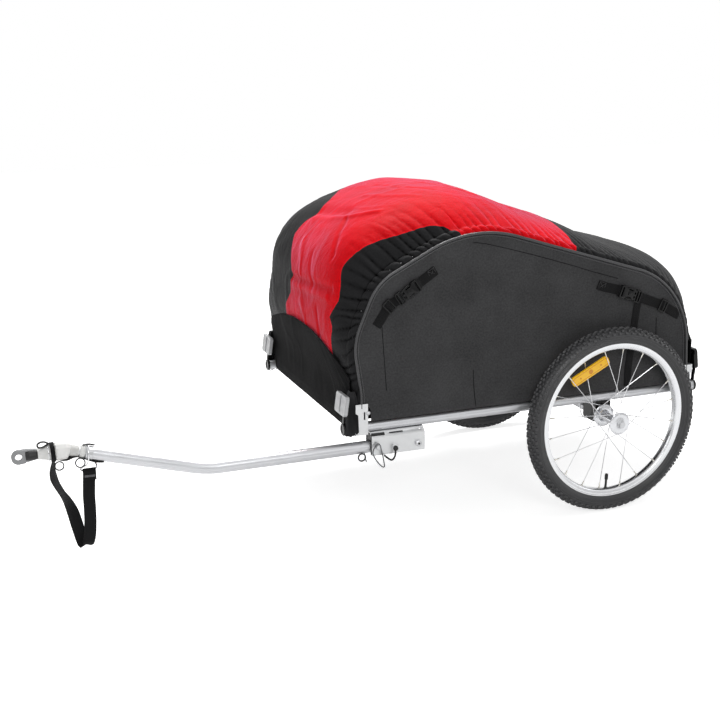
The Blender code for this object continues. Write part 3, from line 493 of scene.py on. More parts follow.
def mesh_piece(name, points, faces, uvs=None, flat=False, sharp_deg=38.0):
    """A mesh from points in trailer millimetres, with one UV pair for each point, in metres."""
    mesh = bpy.data.meshes.new(name)
    mesh.from_pydata([tuple(place(*p)) for p in points], [], faces)
    mesh.update()
    if uvs is not None:
        layer = mesh.uv_layers.new(name="UVMap")
        for loop in mesh.loops:
            layer.data[loop.index].uv = uvs[loop.vertex_index]
    if not flat:
        mesh.shade_smooth()
        mesh.set_sharp_from_angle(angle=math.radians(sharp_deg))
    return new_object(name, mesh)


def keep_shape(obj):
    """Make what the modifiers give the piece's own mesh."""
    bpy.context.view_layer.update()
    graph = bpy.context.evaluated_depsgraph_get()
    mesh = bpy.data.meshes.new_from_object(obj.evaluated_get(graph))
    old = obj.data
    obj.modifiers.clear()
    obj.data = mesh
    bpy.data.meshes.remove(old)
    mesh.name = obj.name


def refine(obj, bevel=None, segments=2, subdivide=0, angle=35.0):
    """Round the edges and smooth a piece, then keep the result as its mesh."""
    if bevel:
        mod = obj.modifiers.new("edges", "BEVEL")
        mod.width = bevel * MM
        mod.segments = segments
        mod.limit_method = "ANGLE"
        mod.angle_limit = math.radians(angle)
        mod.harden_normals = False
    if subdivide:
        mod = obj.modifiers.new("smooth", "SUBSURF")
        mod.levels = mod.render_levels = subdivide
    keep_shape(obj)
    obj.data.shade_smooth()
    obj.data.set_sharp_from_angle(angle=math.radians(40))
    return obj


def cut_away(obj, *tools):
    """Cut the tools out of a piece and drop them."""
    for tool in tools:
        mod = obj.modifiers.new("cut", "BOOLEAN")
        mod.operation = "DIFFERENCE"
        mod.solver = "EXACT"
        mod.object = tool
        tool.hide_render = True
    keep_shape(obj)
    for tool in tools:
        bpy.data.objects.remove(tool, do_unlink=True)
    return obj


def merge(name, pieces):
    """Several pieces as one object."""
    shape = bmesh.new()
    for piece in pieces:
        piece.data.transform(piece.matrix_world)
        shape.from_mesh(piece.data)
    mesh = bpy.data.meshes.new(name)
    shape.to_mesh(mesh)
    shape.free()
    for piece in pieces:
        old = piece.data
        bpy.data.objects.remove(piece, do_unlink=True)
        bpy.data.meshes.remove(old)
    mesh.shade_smooth()
    mesh.set_sharp_from_angle(angle=math.radians(40))
    return new_object(name, mesh)


def lathe(name, profile, centre, axis, steps=64, closed=False):
    """A profile of (radius, height) pairs turned about an axis; a point on the axis is made once."""
    frame_of = Vector(axis).to_track_quat("Z", "Y").to_matrix()
    centre = Vector(centre)
    points, rows = [], []
    for radius, height in profile:
        if radius < 1e-6:
            rows.append([len(points)] * steps)
            points.append(centre + frame_of @ Vector((0, 0, height)))
            continue
        rows.append(list(range(len(points), len(points) + steps)))
        for k in range(steps):
            a = 2 * math.pi * k / steps
            points.append(centre + frame_of @ Vector((radius * math.cos(a), radius * math.sin(a), height)))
    faces = []
    pairs = list(zip(rows, rows[1:])) + ([(rows[-1], rows[0])] if closed else [])
    for low, high in pairs:
        for k in range(steps):
            n = (k + 1) % steps
            ring = [low[k], low[n], high[n], high[k]]
            face = [v for i, v in enumerate(ring) if v not in ring[:i]]
            if len(face) > 2:
                faces.append(face)
    obj = mesh_piece(name, points, faces)
    tidy_normals(obj)
    return obj


def tidy_normals(obj):
    """Turn a piece's faces outwards."""
    shape = bmesh.new()
    shape.from_mesh(obj.data)
    bmesh.ops.recalc_face_normals(shape, faces=shape.faces)
    shape.to_mesh(obj.data)
    shape.free()
    obj.data.set_sharp_from_angle(angle=math.radians(38))


def tangent_at(path, i, closed=False):
    """The direction of a path at its point i."""
    if closed:
        return (path[(i + 1) % len(path)] - path[i - 1]).normalized()
    return (path[min(i + 1, len(path) - 1)] - path[max(i - 1, 0)]).normalized()


def frames_along(path, closed=False):
    """Place, tangent and two cross directions at each point of a path, turning as little as possible."""
    path = [Vector(p) for p in path]
    frames = []
    across = None
    for i, point in enumerate(path):
        tangent = tangent_at(path, i, closed)
        if across is None:
            across = tangent.cross(Z_AXIS if abs(tangent.z) < 0.9 else X_AXIS).normalized()
        across = (across - tangent * across.dot(tangent)).normalized()
        frames.append((point, tangent, across, tangent.cross(across)))
    return frames


def rope(name, path, radius, sides=10, closed=False):
    """A round bar, wire or cord along a path."""
    frames = frames_along(path, closed)
    points, faces, uvs = [], [], []
    run = 0.0
    for i, (point, _, a, b) in enumerate(frames):
        if i:
            run += (point - frames[i - 1][0]).length * MM
        for k in range(sides):
            turn = 2 * math.pi * k / sides
            points.append(point + a * (radius * math.cos(turn)) + b * (radius * math.sin(turn)))
            uvs.append((run, radius * turn * MM))
    count = len(frames)
    for i in range(count if closed else count - 1):
        j = (i + 1) % count
        for k in range(sides):
            n = (k + 1) % sides
            faces.append((i * sides + k, i * sides + n, j * sides + n, j * sides + k))
    if not closed:
        faces.append(tuple(reversed(range(sides))))
        faces.append(tuple(range((count - 1) * sides, count * sides)))
    obj = mesh_piece(name, points, faces, uvs)
    tidy_normals(obj)
    return obj


def smooth_path(points, step=6.0):
    """A Catmull-Rom line through the points, in pieces of about one step."""
    pts = [Vector(p) for p in points]
    result = []
    for i in range(len(pts) - 1):
        p0, p1, p2, p3 = pts[max(i - 1, 0)], pts[i], pts[i + 1], pts[min(i + 2, len(pts) - 1)]
        count = max(2, int((p2 - p1).length / step))
        for k in range(count):
            t = k / count
            result.append(
                0.5 * ((2 * p1) + (p2 - p0) * t + (2 * p0 - 5 * p1 + 4 * p2 - p3) * t * t
                       + (3 * p1 - p0 - 3 * p2 + p3) * t * t * t)
            )
    result.append(pts[-1])
    return result


def slab(name, outline, thickness, centre, across=X_AXIS, up=Z_AXIS):
    """A flat outline, drawn across and up from centre and thickened to both sides."""
    across, up = Vector(across).normalized(), Vector(up).normalized()
    out = across.cross(up) * (thickness / 2)
    centre = Vector(centre)
    ring = [centre + across * a + up * b for a, b in outline]
    count = len(ring)
    points = [p - out for p in ring] + [p + out for p in ring]
    faces = [tuple(reversed(range(count))), tuple(range(count, 2 * count))]
    faces += [(k, (k + 1) % count, count + (k + 1) % count, count + k) for k in range(count)]
    obj = mesh_piece(name, points, faces, flat=True)
    tidy_normals(obj)
    return obj


def rectangle(width, height):
    """A rectangle's outline round its middle."""
    return [(a * width / 2, b * height / 2) for a, b in ((-1, -1), (1, -1), (1, 1), (-1, 1))]


def rounded(width, height, radius, steps=5):
    """A rectangle's outline with round corners."""
    points = []
    for cx, cy, first in (
        (width / 2 - radius, height / 2 - radius, 0), (-width / 2 + radius, height / 2 - radius, 90),
        (-width / 2 + radius, -height / 2 + radius, 180), (width / 2 - radius, -height / 2 + radius, 270),
    ):
        for k in range(steps + 1):
            a = math.radians(first + 90 * k / steps)
            points.append((cx + radius * math.cos(a), cy + radius * math.sin(a)))
    return points


def ribbon(name, path, widths, width, thickness, columns=6):
    """Webbing along a path: each station has the direction of its width."""
    points, faces, uvs = [], [], []
    run = 0.0
    path = [Vector(p) for p in path]
    for i, point in enumerate(path):
        tangent = tangent_at(path, i)
        wide = Vector(widths[i])
        wide = (wide - tangent * wide.dot(tangent)).normalized()
        out = tangent.cross(wide)
        if i:
            run += (point - path[i - 1]).length
        for side in (1, -1):
            for k in range(columns + 1):
                v = -0.5 + k / columns
                edge = 1.0 if 0 < k < columns else 0.55
                points.append(point + wide * (v * width) + out * (side * thickness / 2 * edge))
                uvs.append((run * MM, v * width * MM))
    per = 2 * (columns + 1)
    for i in range(len(path) - 1):
        a, b = i * per, (i + 1) * per
        for k in range(columns):
            faces.append((a + k, a + k + 1, b + k + 1, b + k))
            c, d = a + columns + 1 + k, b + columns + 1 + k
            faces.append((c + 1, c, d, d + 1))
        faces.append((a + columns, a + 2 * columns + 1, b + 2 * columns + 1, b + columns))
        faces.append((a + columns + 1, a, b, b + columns + 1))
    for a in (0, (len(path) - 1) * per):
        for k in range(columns):
            faces.append((a + k, a + k + 1, a + columns + 2 + k, a + columns + 1 + k))
    obj = mesh_piece(name, points, faces, uvs)
    tidy_normals(obj)
    return obj


# Cloth of the hull


def bent_path(corners, bends, step_deg=2.0):
    """The centre line of a tube bent at each inner corner to the given radius, in two coordinates."""
    points = [Vector(c) for c in corners]
    path = [points[0]]
    for i, radius in enumerate(bends, start=1):
        back = (points[i - 1] - points[i]).normalized()
        ahead = (points[i + 1] - points[i]).normalized()
        turn = math.pi - back.angle(ahead)
        run = radius * math.tan(turn / 2)
        centre = points[i] + (back + ahead).normalized() * (radius / math.cos(turn / 2))
        first = points[i] + back * run - centre
        last = points[i] + ahead * run - centre
        count = max(2, int(math.degrees(turn) / step_deg))
        for k in range(count + 1):
            w = k / count
            arm = first * math.sin((1 - w) * turn) + last * math.sin(w * turn)
            path.append(centre + arm / math.sin(turn))
    path.append(points[-1])
    return path


class Line:
    """A line in the side view, read at t from 0 to 1, with its outward normal."""

    def __init__(self, path):
        pts = np.array([(p.x, p.y) for p in path])
        runs = np.concatenate([[0.0], np.cumsum(np.hypot(*np.diff(pts, axis=0).T))])
        self.length = runs[-1]
        fine = np.linspace(0, 1, 800)
        xy = np.stack([np.interp(fine * runs[-1], runs, pts[:, k]) for k in (0, 1)], axis=1)
        kernel = np.hanning(27)
        kernel /= kernel.sum()
        along = np.gradient(xy, axis=0)
        along /= np.linalg.norm(along, axis=1)[:, None]
        padded = np.pad(along, ((13, 13), (0, 0)), mode="edge")
        along = np.stack([np.convolve(padded[:, k], kernel, mode="valid") for k in (0, 1)], axis=1)
        along /= np.linalg.norm(along, axis=1)[:, None]
        self.fine, self.xy, self.along = fine, xy, along

    def at(self, t):
        t = np.clip(t, 0.0, 1.0)
        point = np.stack([np.interp(t, self.fine, self.xy[:, k]) for k in (0, 1)], axis=-1)
        along = np.stack([np.interp(t, self.fine, self.along[:, k]) for k in (0, 1)], axis=-1)
        return point, along


HOOP = Line(bent_path(HOOP_CORNERS, HOOP_BENDS))

# Height of the crown above the hoops from the front hem to the rear hem
CROWN = (5, 24, 90, 84, 59, 48, 32, 98, 6)
# How flat the crown is across, from the front hem to the rear hem: a high number gives full shoulders
CROWN_POWER = ((0.0, 6.0), (0.18, 6.0), (0.3, 5.0), (0.45, 3.0), (1.0, 2.6))
HULL_REACH = TUBE_R + 3.2
WRAP_FROM = 0.86
WRAP_DEG = 92.0


def smooth_read(values, t):
    """Evenly spaced values read at t from 0 to 1 on a smooth curve through them."""
    values = np.asarray(values, float)
    at = np.clip(t, 0.0, 1.0) * (len(values) - 1)
    i = np.minimum(at.astype(int), len(values) - 2)
    f = at - i
    p0, p1, p2, p3 = (values[np.clip(i + k, 0, len(values) - 1)] for k in (-1, 0, 1, 2))
    return 0.5 * ((2 * p1) + (p2 - p0) * f + (2 * p0 - 5 * p1 + 4 * p2 - p3) * f ** 2
                  + (3 * p1 - p0 - 3 * p2 + p3) * f ** 3)


def crown_power(t):
    """How flat the crown is across, at places along the cover."""
    table = np.array(CROWN_POWER)
    return np.interp(t, table[:, 0], table[:, 1])


def hull(t, w, lift=0.0):
    """The cover's outer face in millimetres: t from the front hem to the rear, w from left to right."""
    t, w = np.broadcast_arrays(np.asarray(t, float), np.asarray(w, float))
    point, along = HOOP.at(t)
    normal = np.stack([-along[..., 1], along[..., 0]], axis=-1)
    s = np.abs(w)
    flat = np.minimum(s, WRAP_FROM)
    turn = np.maximum(s - WRAP_FROM, 0) / (1 - WRAP_FROM) * math.radians(WRAP_DEG)
    reach = HULL_REACH + lift
    crown = smooth_read(CROWN, t) * (1 - (flat / WRAP_FROM) ** crown_power(t))
    y = RAIL_Y * flat / WRAP_FROM + reach * np.sin(turn)
    off = np.where(s <= WRAP_FROM, reach + crown, reach * np.cos(turn))
    return np.stack(
        [point[..., 0] + normal[..., 0] * off, np.sign(w) * y, point[..., 1] + normal[..., 1] * off],
        axis=-1
    )


def surface_normals(points):
    """Normals of a grid of points, outwards for the hull's way round."""
    du = np.gradient(points, axis=0)
    dv = np.gradient(points, axis=1)
    normals = np.cross(du, dv)
    return normals / np.maximum(np.linalg.norm(normals, axis=-1, keepdims=True), 1e-9)


# The noise of the cloth repeats after this many cells
LATTICE = 64


def lattice(seed, x, y):
    """Smooth noise from -1 to 1 on a plane, the same on every run."""
    rng = np.random.default_rng(seed)
    table = rng.uniform(-1, 1, (LATTICE, LATTICE))
    xi, yi = np.floor(x).astype(int), np.floor(y).astype(int)
    fx, fy = x - xi, y - yi
    fx, fy = fx * fx * (3 - 2 * fx), fy * fy * (3 - 2 * fy)
    left, right = xi % LATTICE, (xi + 1) % LATTICE
    near, far = yi % LATTICE, (yi + 1) % LATTICE
    low = table[left, near] * (1 - fx) + table[right, near] * fx
    high = table[left, far] * (1 - fx) + table[right, far] * fx
    return low * (1 - fy) + high * fy


def gathers(run, depth, seed, pitch=25.0, reach=58.0, lean=0.5):
    """How high gathered cloth puckers, from run along the piping and depth off it, in millimetres."""
    warp = 0.55 * lattice(seed, run / 46, depth / 130) + 0.3 * lattice(seed + 1, run / 17, depth / 60)
    phase = (run + lean * depth) / pitch + warp
    ridge = np.abs(np.sin(np.pi * phase)) ** 0.45 - 0.75
    # Each pucker has its own height and its own length
    own = 0.75 + 0.35 * lattice(seed + 2, phase * 0.9, np.full_like(depth, 0.5))
    length = reach * (0.75 + 0.45 * lattice(seed + 3, phase * 0.8, np.full_like(depth, 3.5)))
    shape = np.clip(depth / 16.0, 0, 1) ** 0.8 * np.exp(-(np.maximum(depth - 10, 0) / length) ** 2)
    return ridge * own * shape


def folds(run, across, seed):
    """Soft, long folds of slack cloth, in shares of their height."""
    turn = 0.35 * lattice(seed + 5, run / 300, across / 300)
    a, b = run + turn * across, across - turn * run
    long = lattice(seed, a / 62, b / 210)
    fine = lattice(seed + 1, a / 27 + 7, b / 95)
    crease = 1 - np.abs(lattice(seed + 2, a / 80 + 3, b / 120 + 9)) * 4
    return 0.75 * long + 0.28 * fine + 0.5 * np.clip(crease, 0, 1)


def cloth_piece(name, points, uv, thickness=1.0, flip=False):
    """A sheet from a grid of points: an outer face, an inner face and a rim, with smooth shading."""
    rows, cols = points.shape[:2]
    normals = surface_normals(points)
    if flip:
        normals = -normals
    outer = points.reshape(-1, 3)
    inner = (points - normals * thickness).reshape(-1, 3)
    index = np.arange(rows * cols).reshape(rows, cols)
    corners = [index[:-1, :-1], index[:-1, 1:], index[1:, 1:], index[1:, :-1]]
    quads = np.stack(corners, axis=-1).reshape(-1, 4)
    if not flip:
        quads = quads[:, ::-1]
    count = rows * cols
    lower = quads[:, ::-1] + count
    border = np.concatenate([index[0, :], index[1:, -1], index[-1, -2::-1], index[-2:0:-1, 0]])
    after = np.roll(border, -1)
    rim = np.stack([border, after, after + count, border + count], axis=-1)
    if flip:
        rim = rim[:, ::-1]
    mesh = bpy.data.meshes.new(name)
    verts = (np.concatenate([outer, inner]) + np.array([X_SHIFT, 0, 0])) * MM
    faces = np.concatenate([quads, lower, rim])
    mesh.from_pydata(verts.tolist(), [], faces.tolist())
    mesh.update()
    layer = mesh.uv_layers.new(name="UVMap")
    flat = np.tile(uv.reshape(-1, 2), (2, 1)) * MM
    loops = np.empty(len(mesh.loops), int)
    mesh.loops.foreach_get("vertex_index", loops)
    layer.data.foreach_set("uv", flat[loops].astype(np.float32).ravel())
    mesh.shade_smooth()
    mesh.set_sharp_from_angle(angle=math.radians(60))
    return new_object(name, mesh)


# Half width of the red cloth along the cover, on the near and the far side, as its seam runs
RED_EDGE = {
    -1: ((0.07, 0.66), (0.14, 0.70), (0.15, 0.655), (0.18, 0.735), (0.2, 0.73), (0.22, 0.69), (0.24, 0.71),
         (0.26, 0.73), (0.28, 0.745), (0.3, 0.765), (0.33, 0.78), (0.35, 0.79), (0.37, 0.82), (0.382, 0.88),
         (0.388, 0.94), (0.39, 1.0)),
    1: ((0.07, 0.3), (0.12, 0.22), (0.132, 0.22), (0.152, 0.12), (0.17, 0.13), (0.183, 0.08), (0.206, 0.14),
        (0.228, 0.24), (0.241, 0.22), (0.255, 0.18), (0.294, 0.27), (0.338, 0.47), (0.365, 0.7),
        (0.382, 0.88), (0.39, 1.0)),
}


def red_edge(t, side):
    """The red cloth's half width at places along the cover, on one side."""
    table = np.array(RED_EDGE[side])
    return np.interp(t, table[:, 0], table[:, 1])


# Creases of the slack cloth: places along and across the cover, then height and width in millimetres
CREASES = (
    (((0.252, 0.15), (0.259, -0.09), (0.271, -0.3), (0.29, -0.41), (0.312, -0.5)), 4.2, 9.0),
    (((0.264, 0.16), (0.272, -0.05), (0.281, -0.2)), -5.0, 20.0),
    (((0.269, -0.31), (0.248, -0.43), (0.234, -0.52), (0.225, -0.56)), -3.2, 5.5),
    (((0.178, 0.09), (0.185, -0.31), (0.19, -0.64)), -4.0, 11.0),
    (((0.168, 0.05), (0.172, -0.3), (0.176, -0.6)), 3.0, 10.0),
    (((0.226, 0.02), (0.208, -0.08), (0.19, -0.09)), 2.4, 8.0),
    (((0.215, -0.25), (0.195, -0.3), (0.18, -0.33)), -2.2, 9.0),
    (((0.15, -0.1), (0.13, -0.2), (0.118, -0.22)), 2.6, 9.0),
    (((0.15, -0.42), (0.132, -0.47), (0.12, -0.48)), -2.6, 8.0),
    (((0.33, -0.05), (0.345, -0.3), (0.372, -0.5)), 2.2, 7.0),
    (((0.36, 0.1), (0.37, -0.2), (0.4, -0.42)), -2.0, 6.0),
    (((0.41, 0.0), (0.425, -0.25), (0.46, -0.42)), 2.0, 7.0),
    (((0.47, -0.1), (0.5, -0.35), (0.53, -0.45)), -2.2, 7.0),
)


def crease_height(run, across):
    """The height of all creases at places on the cloth, in millimetres."""
    total = np.zeros_like(run)
    for line, height, width in CREASES:
        pts = [np.array((t * HOOP.length, w * COVER_HALF)) for t, w in line]
        near = np.full(run.shape, 1e9)
        for a, b in zip(pts, pts[1:]):
            step = b - a
            k = ((run - a[0]) * step[0] + (across - a[1]) * step[1]) / (step @ step)
            k = np.clip(k, 0, 1)
            near = np.minimum(near, np.hypot(run - a[0] - k * step[0], across - a[1] - k * step[1]))
        total = total + height * np.exp(-(near / width) ** 2)
    return total


# Half width of the cover's cloth, and the width that the puckers' depth is measured over, in millimetres
COVER_HALF = 400.0
GATHERED = 195.0
# The height of the cover's soft folds
COVER_FOLDS = 2.6
# How strong the puckers are from the front hem to the rear hem
GATHER_STRENGTH = ((0.0, 0.2), (0.05, 0.8), (0.12, 1.0), (0.6, 1.0), (0.68, 0.62), (0.9, 0.55), (1.0, 0.3))


def cover_shape(t, w):
    """The cover with its puckers and slack: points and the cloth's own coordinates in millimetres."""
    t, w = np.broadcast_arrays(t, w)
    base = hull(t, w)
    run = t * HOOP.length
    across = w * COVER_HALF
    depth = (1 - np.abs(w)) * GATHERED
    strength = np.interp(t, *np.transpose(GATHER_STRENGTH))
    height = np.zeros_like(t)
    for sign, seed in ((-1, 3), (1, 17)):
        mask = (np.sign(w) == sign) | (w == 0)
        height = np.where(mask, gathers(run, depth, seed) * strength * sizes().gather / MM, height)
    slack = 1 - np.exp(-(depth / 60) ** 2)
    height = height + folds(run, across, seed=31) * COVER_FOLDS * slack + crease_height(run, across)
    return base + surface_normals(base) * height[..., None], np.stack([run, across], axis=-1)


def cloth_rows(first, last):
    """Evenly spaced places along the cover, one cell of cloth apart."""
    return np.linspace(first, last, max(4, int((last - first) * HOOP.length / (sizes().cell / MM))))


def bend_with_side(obj):
    """Cloth that spans the bay: its place is baked into its mesh."""
    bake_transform(obj)


class TRAILER_OT_cover(bpy.types.Operator):
    """Sewn cover: red middle, black front shoulders and black rear, in left and right halves"""
    bl_idname = "trailer.cover"
    bl_label = "Cover"

    def execute(self, context):
        t_low, t_front, t_rear, t_high = COVER_T
        cols = int(COVER_HALF / (sizes().cell / MM))
        # Each piece: its finish and solid, where it starts and ends, its columns, and its places across
        plans = (
            ("red", "red_nylon", "cover_red", t_low, t_rear, cols, lambda v, seam: v * seam),
            ("rear", "black_nylon", "cover_rear", t_rear, t_high, cols, lambda v, seam: v),
            ("shoulder_cloth", "black_nylon", "cover_shoulder_{}", 0.0, t_front, int(cols * 0.62),
             lambda v, seam: seam + (1 - seam) * v),
        )
        for name, finish, node, first, last, count, across in plans:
            t = np.repeat(cloth_rows(first, last)[:, None], count, axis=1)
            for side, word in SIDES:
                share = np.linspace(0, 1, count)[None, ::side]
                points, uv = cover_shape(t, side * across(share, red_edge(t, side)))
                obj = cloth_piece("cover_%s_%s" % (name, word), points, uv)
                dress(obj, finish, stands_for=node.format(word))
                bend_with_side(obj)
                declare(obj, points)
        return {"FINISHED"}


def declare(obj, points, *rests_on):
    """Work out the cloth's cut size, and its area within what that size allows, measured on its own grid;
    the results are not kept.
    """
    du = np.linalg.norm(np.diff(points, axis=0), axis=-1).sum(axis=0).max() * MM
    dv = np.linalg.norm(np.diff(points, axis=1), axis=-1).sum(axis=1).max() * MM
    a = np.cross(points[1:, :-1] - points[:-1, :-1], points[:-1, 1:] - points[:-1, :-1])
    b = np.cross(points[1:, :-1] - points[1:, 1:], points[:-1, 1:] - points[1:, 1:])
    area = (np.linalg.norm(a, axis=-1).sum() + np.linalg.norm(b, axis=-1).sum()) / 2 * MM * MM
    width, length = float(dv), float(du)
    area = min(max(float(area), 0.3 * width * length), width * length)


# Where the side walls end, just above the rails
WALL_LOW = 318.5
# How far inside the piping the side wall's own welt runs
WELT = 7.5
# Darts and topstitched lines of a side wall, as places along and up
WALL_SEAMS = (
    ((-639, 556), (-633, 480), (-627, 392)),
    ((-390, 418), (-387, 370), (-383, 322)),
    ((148, 505), (150, 470), (153, 420)),
    ((-400, 742), (-367, 738), (-250, 706), (-120, 666), (-67, 648), (20, 621)),
)
# Length of one piece of a stitched line
SEAM_STEP = 12
# The opening in a side wall round a hoop's foot, inwards and up from the foot
FOOT_ARCH = ((-40, -60), (26, -60), (26, 32), (19, 47), (4, 54), (-40, 56))
# At the front, the piping and the welt stop above the hoop's bracket, at this height
PIPING_LOW = 352
# How far a side wall sinks between the hoop and the rail, and the height of its folds
WALL_SINK = 6.0
WALL_FOLDS = 0.7


def smooth_flat(route):
    """A smooth line through places along and up."""
    return [(p.x, p.z) for p in smooth_path([(x, 0, z) for x, z in route], SEAM_STEP)]


def wall_y(x, z):
    """How far out a side wall's face lies: it sinks a little between the hoop and the rail."""
    x, z = np.broadcast_arrays(np.asarray(x, float), np.asarray(z, float))
    line = HOOP.xy[::4]
    depth = np.min(np.hypot(x[..., None] - line[:, 0], z[..., None] - line[:, 1]), axis=-1)
    sink = WALL_SINK * (1 - np.exp(-(depth / 70) ** 2)) * np.clip((z - WALL_LOW) / 60, 0, 1)
    return RAIL_Y + TUBE_R + 2.0 - sink + WALL_FOLDS * folds(x * 0.6, z * 0.6, seed=71)


def on_wall(side, x, z, lift):
    """A place on a side wall's face, lifted off it."""
    return Vector((x, side * (float(wall_y(x, z)) + lift), z))


class TRAILER_OT_sides(bpy.types.Operator):
    """Side walls, stretched over the hoops' outer faces, with their darts and hems"""
    bl_idname = "trailer.sides"
    bl_label = "Side walls"

    def execute(self, context):
        t_values = np.linspace(0.0, 1.0, 300)
        line, along = HOOP.at(t_values)
        for side, word in SIDES:
            edge = line.copy()
            edge[:, 1] = np.maximum(edge[:, 1], WALL_LOW + 10)
            # Columns run along the hull from front to rear, rows from the piping down to the rail
            lows = np.linspace(LEG_X[0] + 2, LEG_X[1] - 2, len(edge))
            lows = np.stack([lows, np.full(len(edge), WALL_LOW)], axis=1)
            rows = np.linspace(0, 1, 90) ** 1.25
            grid = edge[None, :, :] * (1 - rows[:, None, None]) + lows[None, :, :] * rows[:, None, None]
            x, z = grid[..., 0], grid[..., 1]
            points = np.stack([x, side * wall_y(x, z), z], axis=-1)
            uv = np.stack([x, z], axis=-1)
            obj = cloth_piece("side_wall_" + word, points, uv, flip=side > 0)
            tools = []
            for _, out, leg in ENDS:
                arch = [(-out * a, b) for a, b in FOOT_ARCH]
                tools.append(slab("arch", arch, 60, (leg, side * (RAIL_Y + 14), 312.0)))
            cut_away(obj, *tools)
            obj.data.shade_smooth()
            dress(obj, "side", "side_" + word, stands_for="side_panel_" + word)

            # The piping's cord, and the welt inside it, along the outer seam
            path = [(p[0], side * (RAIL_Y + HULL_REACH + 1.2), p[1]) for p in line]
            path = [p for p in path if p[2] > PIPING_LOW or p[0] > 0]
            cord = rope("piping_" + word, path[::2], sizes().piping / MM, 8)
            dress(cord, "piping", "side_" + word)
            inner = [(p[0] + n[1] * WELT, side * (RAIL_Y + TUBE_R + 2.6), p[1] - n[0] * WELT)
                     for p, n in zip(line, along)]
            inner = [p for p in inner if p[2] > PIPING_LOW or p[0] > 0]
            dress(rope("welt_" + word, inner[::2], 1.5, 8), "piping", "side_" + word)
            seams = [rope("seam", [on_wall(side, x, z, 0.1) for x, z in smooth_flat(route)], 0.8, 6)
                     for route in WALL_SEAMS]
            dress(merge("wall_seams_" + word, seams), "front", "side_" + word)
        return {"FINISHED"}


# The end walls: half width at the rails, where they leave the cross tubes, height at the hoops
WALL_HALF = 303.0
WALL_FOOT = 324.0
WALL_SIDES = 106.0
# The height of each arch's top, how far the front one dips towards the far side, and the walls' own distance
# from the hoops' line
ARCH_TOPS = (516.0, 470.0)
ARCH_DIP = 26.0
WALL_OFF = 20.5


class TRAILER_OT_ends(bpy.types.Operator):
    """Front and rear walls: they wrap the cross tubes and end in a hemmed arch over the cover"""
    bl_idname = "trailer.ends"
    bl_label = "End walls"

    def execute(self, context):
        reach = TUBE_R + 3.0
        for (name, out, leg_x), tube_x, top in zip(ENDS, (CROSS_FRONT_X, CROSS_REAR_X), ARCH_TOPS):
            turns = np.radians(np.linspace(-84, -8, 10))
            rise = np.linspace(0, 1, 40)
            s = np.linspace(-1, 1, 129)
            rows = []
            for a in turns:
                x = tube_x + out * reach * math.cos(a)
                z = RAIL_Z + reach * math.sin(a)
                rows.append(np.stack([np.full_like(s, x), s * WALL_HALF, np.full_like(s, z)], axis=-1))
            for value in rise:
                edge = WALL_HALF + 20.0 * min(1.0, value / 0.12)
                peak = top - (ARCH_DIP * np.clip((s - 0.05) / 0.6, 0, 1) if out < 0 else 0.0)
                arch = 1 - np.abs(s) ** (3.6 if out < 0 else 2.6)
                z = WALL_FOOT + value * (WALL_SIDES + (peak - WALL_FOOT - WALL_SIDES) * arch)
                t = (z - 330.0) / HOOP.length
                t = t if out < 0 else 1 - t
                bulge = smooth_read(CROWN, t) * (1 - np.abs(s * edge / RAIL_Y).clip(0, 1) ** crown_power(t))
                if out > 0:
                    bulge = bulge * np.clip(0.3 + 0.7 * (z - 402.0) / 30.0, 0.3, 1.0)
                    line_x = np.full_like(z, leg_x)
                else:
                    line_x = HOOP.at(t)[0][..., 0]
                x = line_x + out * (WALL_OFF + bulge)
                rows.append(np.stack([x, s * edge, z], axis=-1))
            points = np.stack(rows)
            run = np.broadcast_to(np.arange(len(rows))[:, None] * 4.0, points.shape[:2])
            uv = np.stack([points[..., 1], run], axis=-1)
            ripple = 1.6 * folds(points[..., 1], points[..., 2], seed=53 + out)
            ripple *= np.clip((points[..., 2] - 326) / 40, 0, 1)
            points[..., 0] += out * ripple
            obj = cloth_piece(name + "_wall", points, uv, flip=out < 0)
            dress(obj, "front", "frame", stands_for=name + "_panel")
            squash_down(obj)
            declare(obj, points)
            # Hem along the arch
            hem = points[-5:].copy()
            normals = surface_normals(hem)
            lift = np.array([0.2, 1.0, 1.15, 1.1, 0.6])[:, None, None]
            hem = hem + (normals if out > 0 else -normals) * lift * 1.3
            band = cloth_piece(name + "_hem", hem, uv[-5:], 0.8, flip=out < 0)
            dress(band, "black_nylon", "frame")
            squash_down(band)
        return {"FINISHED"}


def squash_down(obj):
    """Give an end wall its own copy of its mesh."""
    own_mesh(obj)


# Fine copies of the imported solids


def fine_copy(node, bevel, segments=2):
    """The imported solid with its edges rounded, in the solid's place."""
    return refine(new_object(node + "_fine", frame["nodes"][node].data.copy()), bevel, segments)


def dress_copy(obj, node, finish):
    """Finish a fine copy and let it take its solid's place."""
    dress(obj, finish, BODY_OF[node], stands_for=node)


def block(name, low, high):
    """A box between two corners, in trailer millimetres."""
    size = Vector(high) - Vector(low)
    return slab(name, rectangle(size.x, size.z), size.y, (Vector(low) + Vector(high)) / 2)


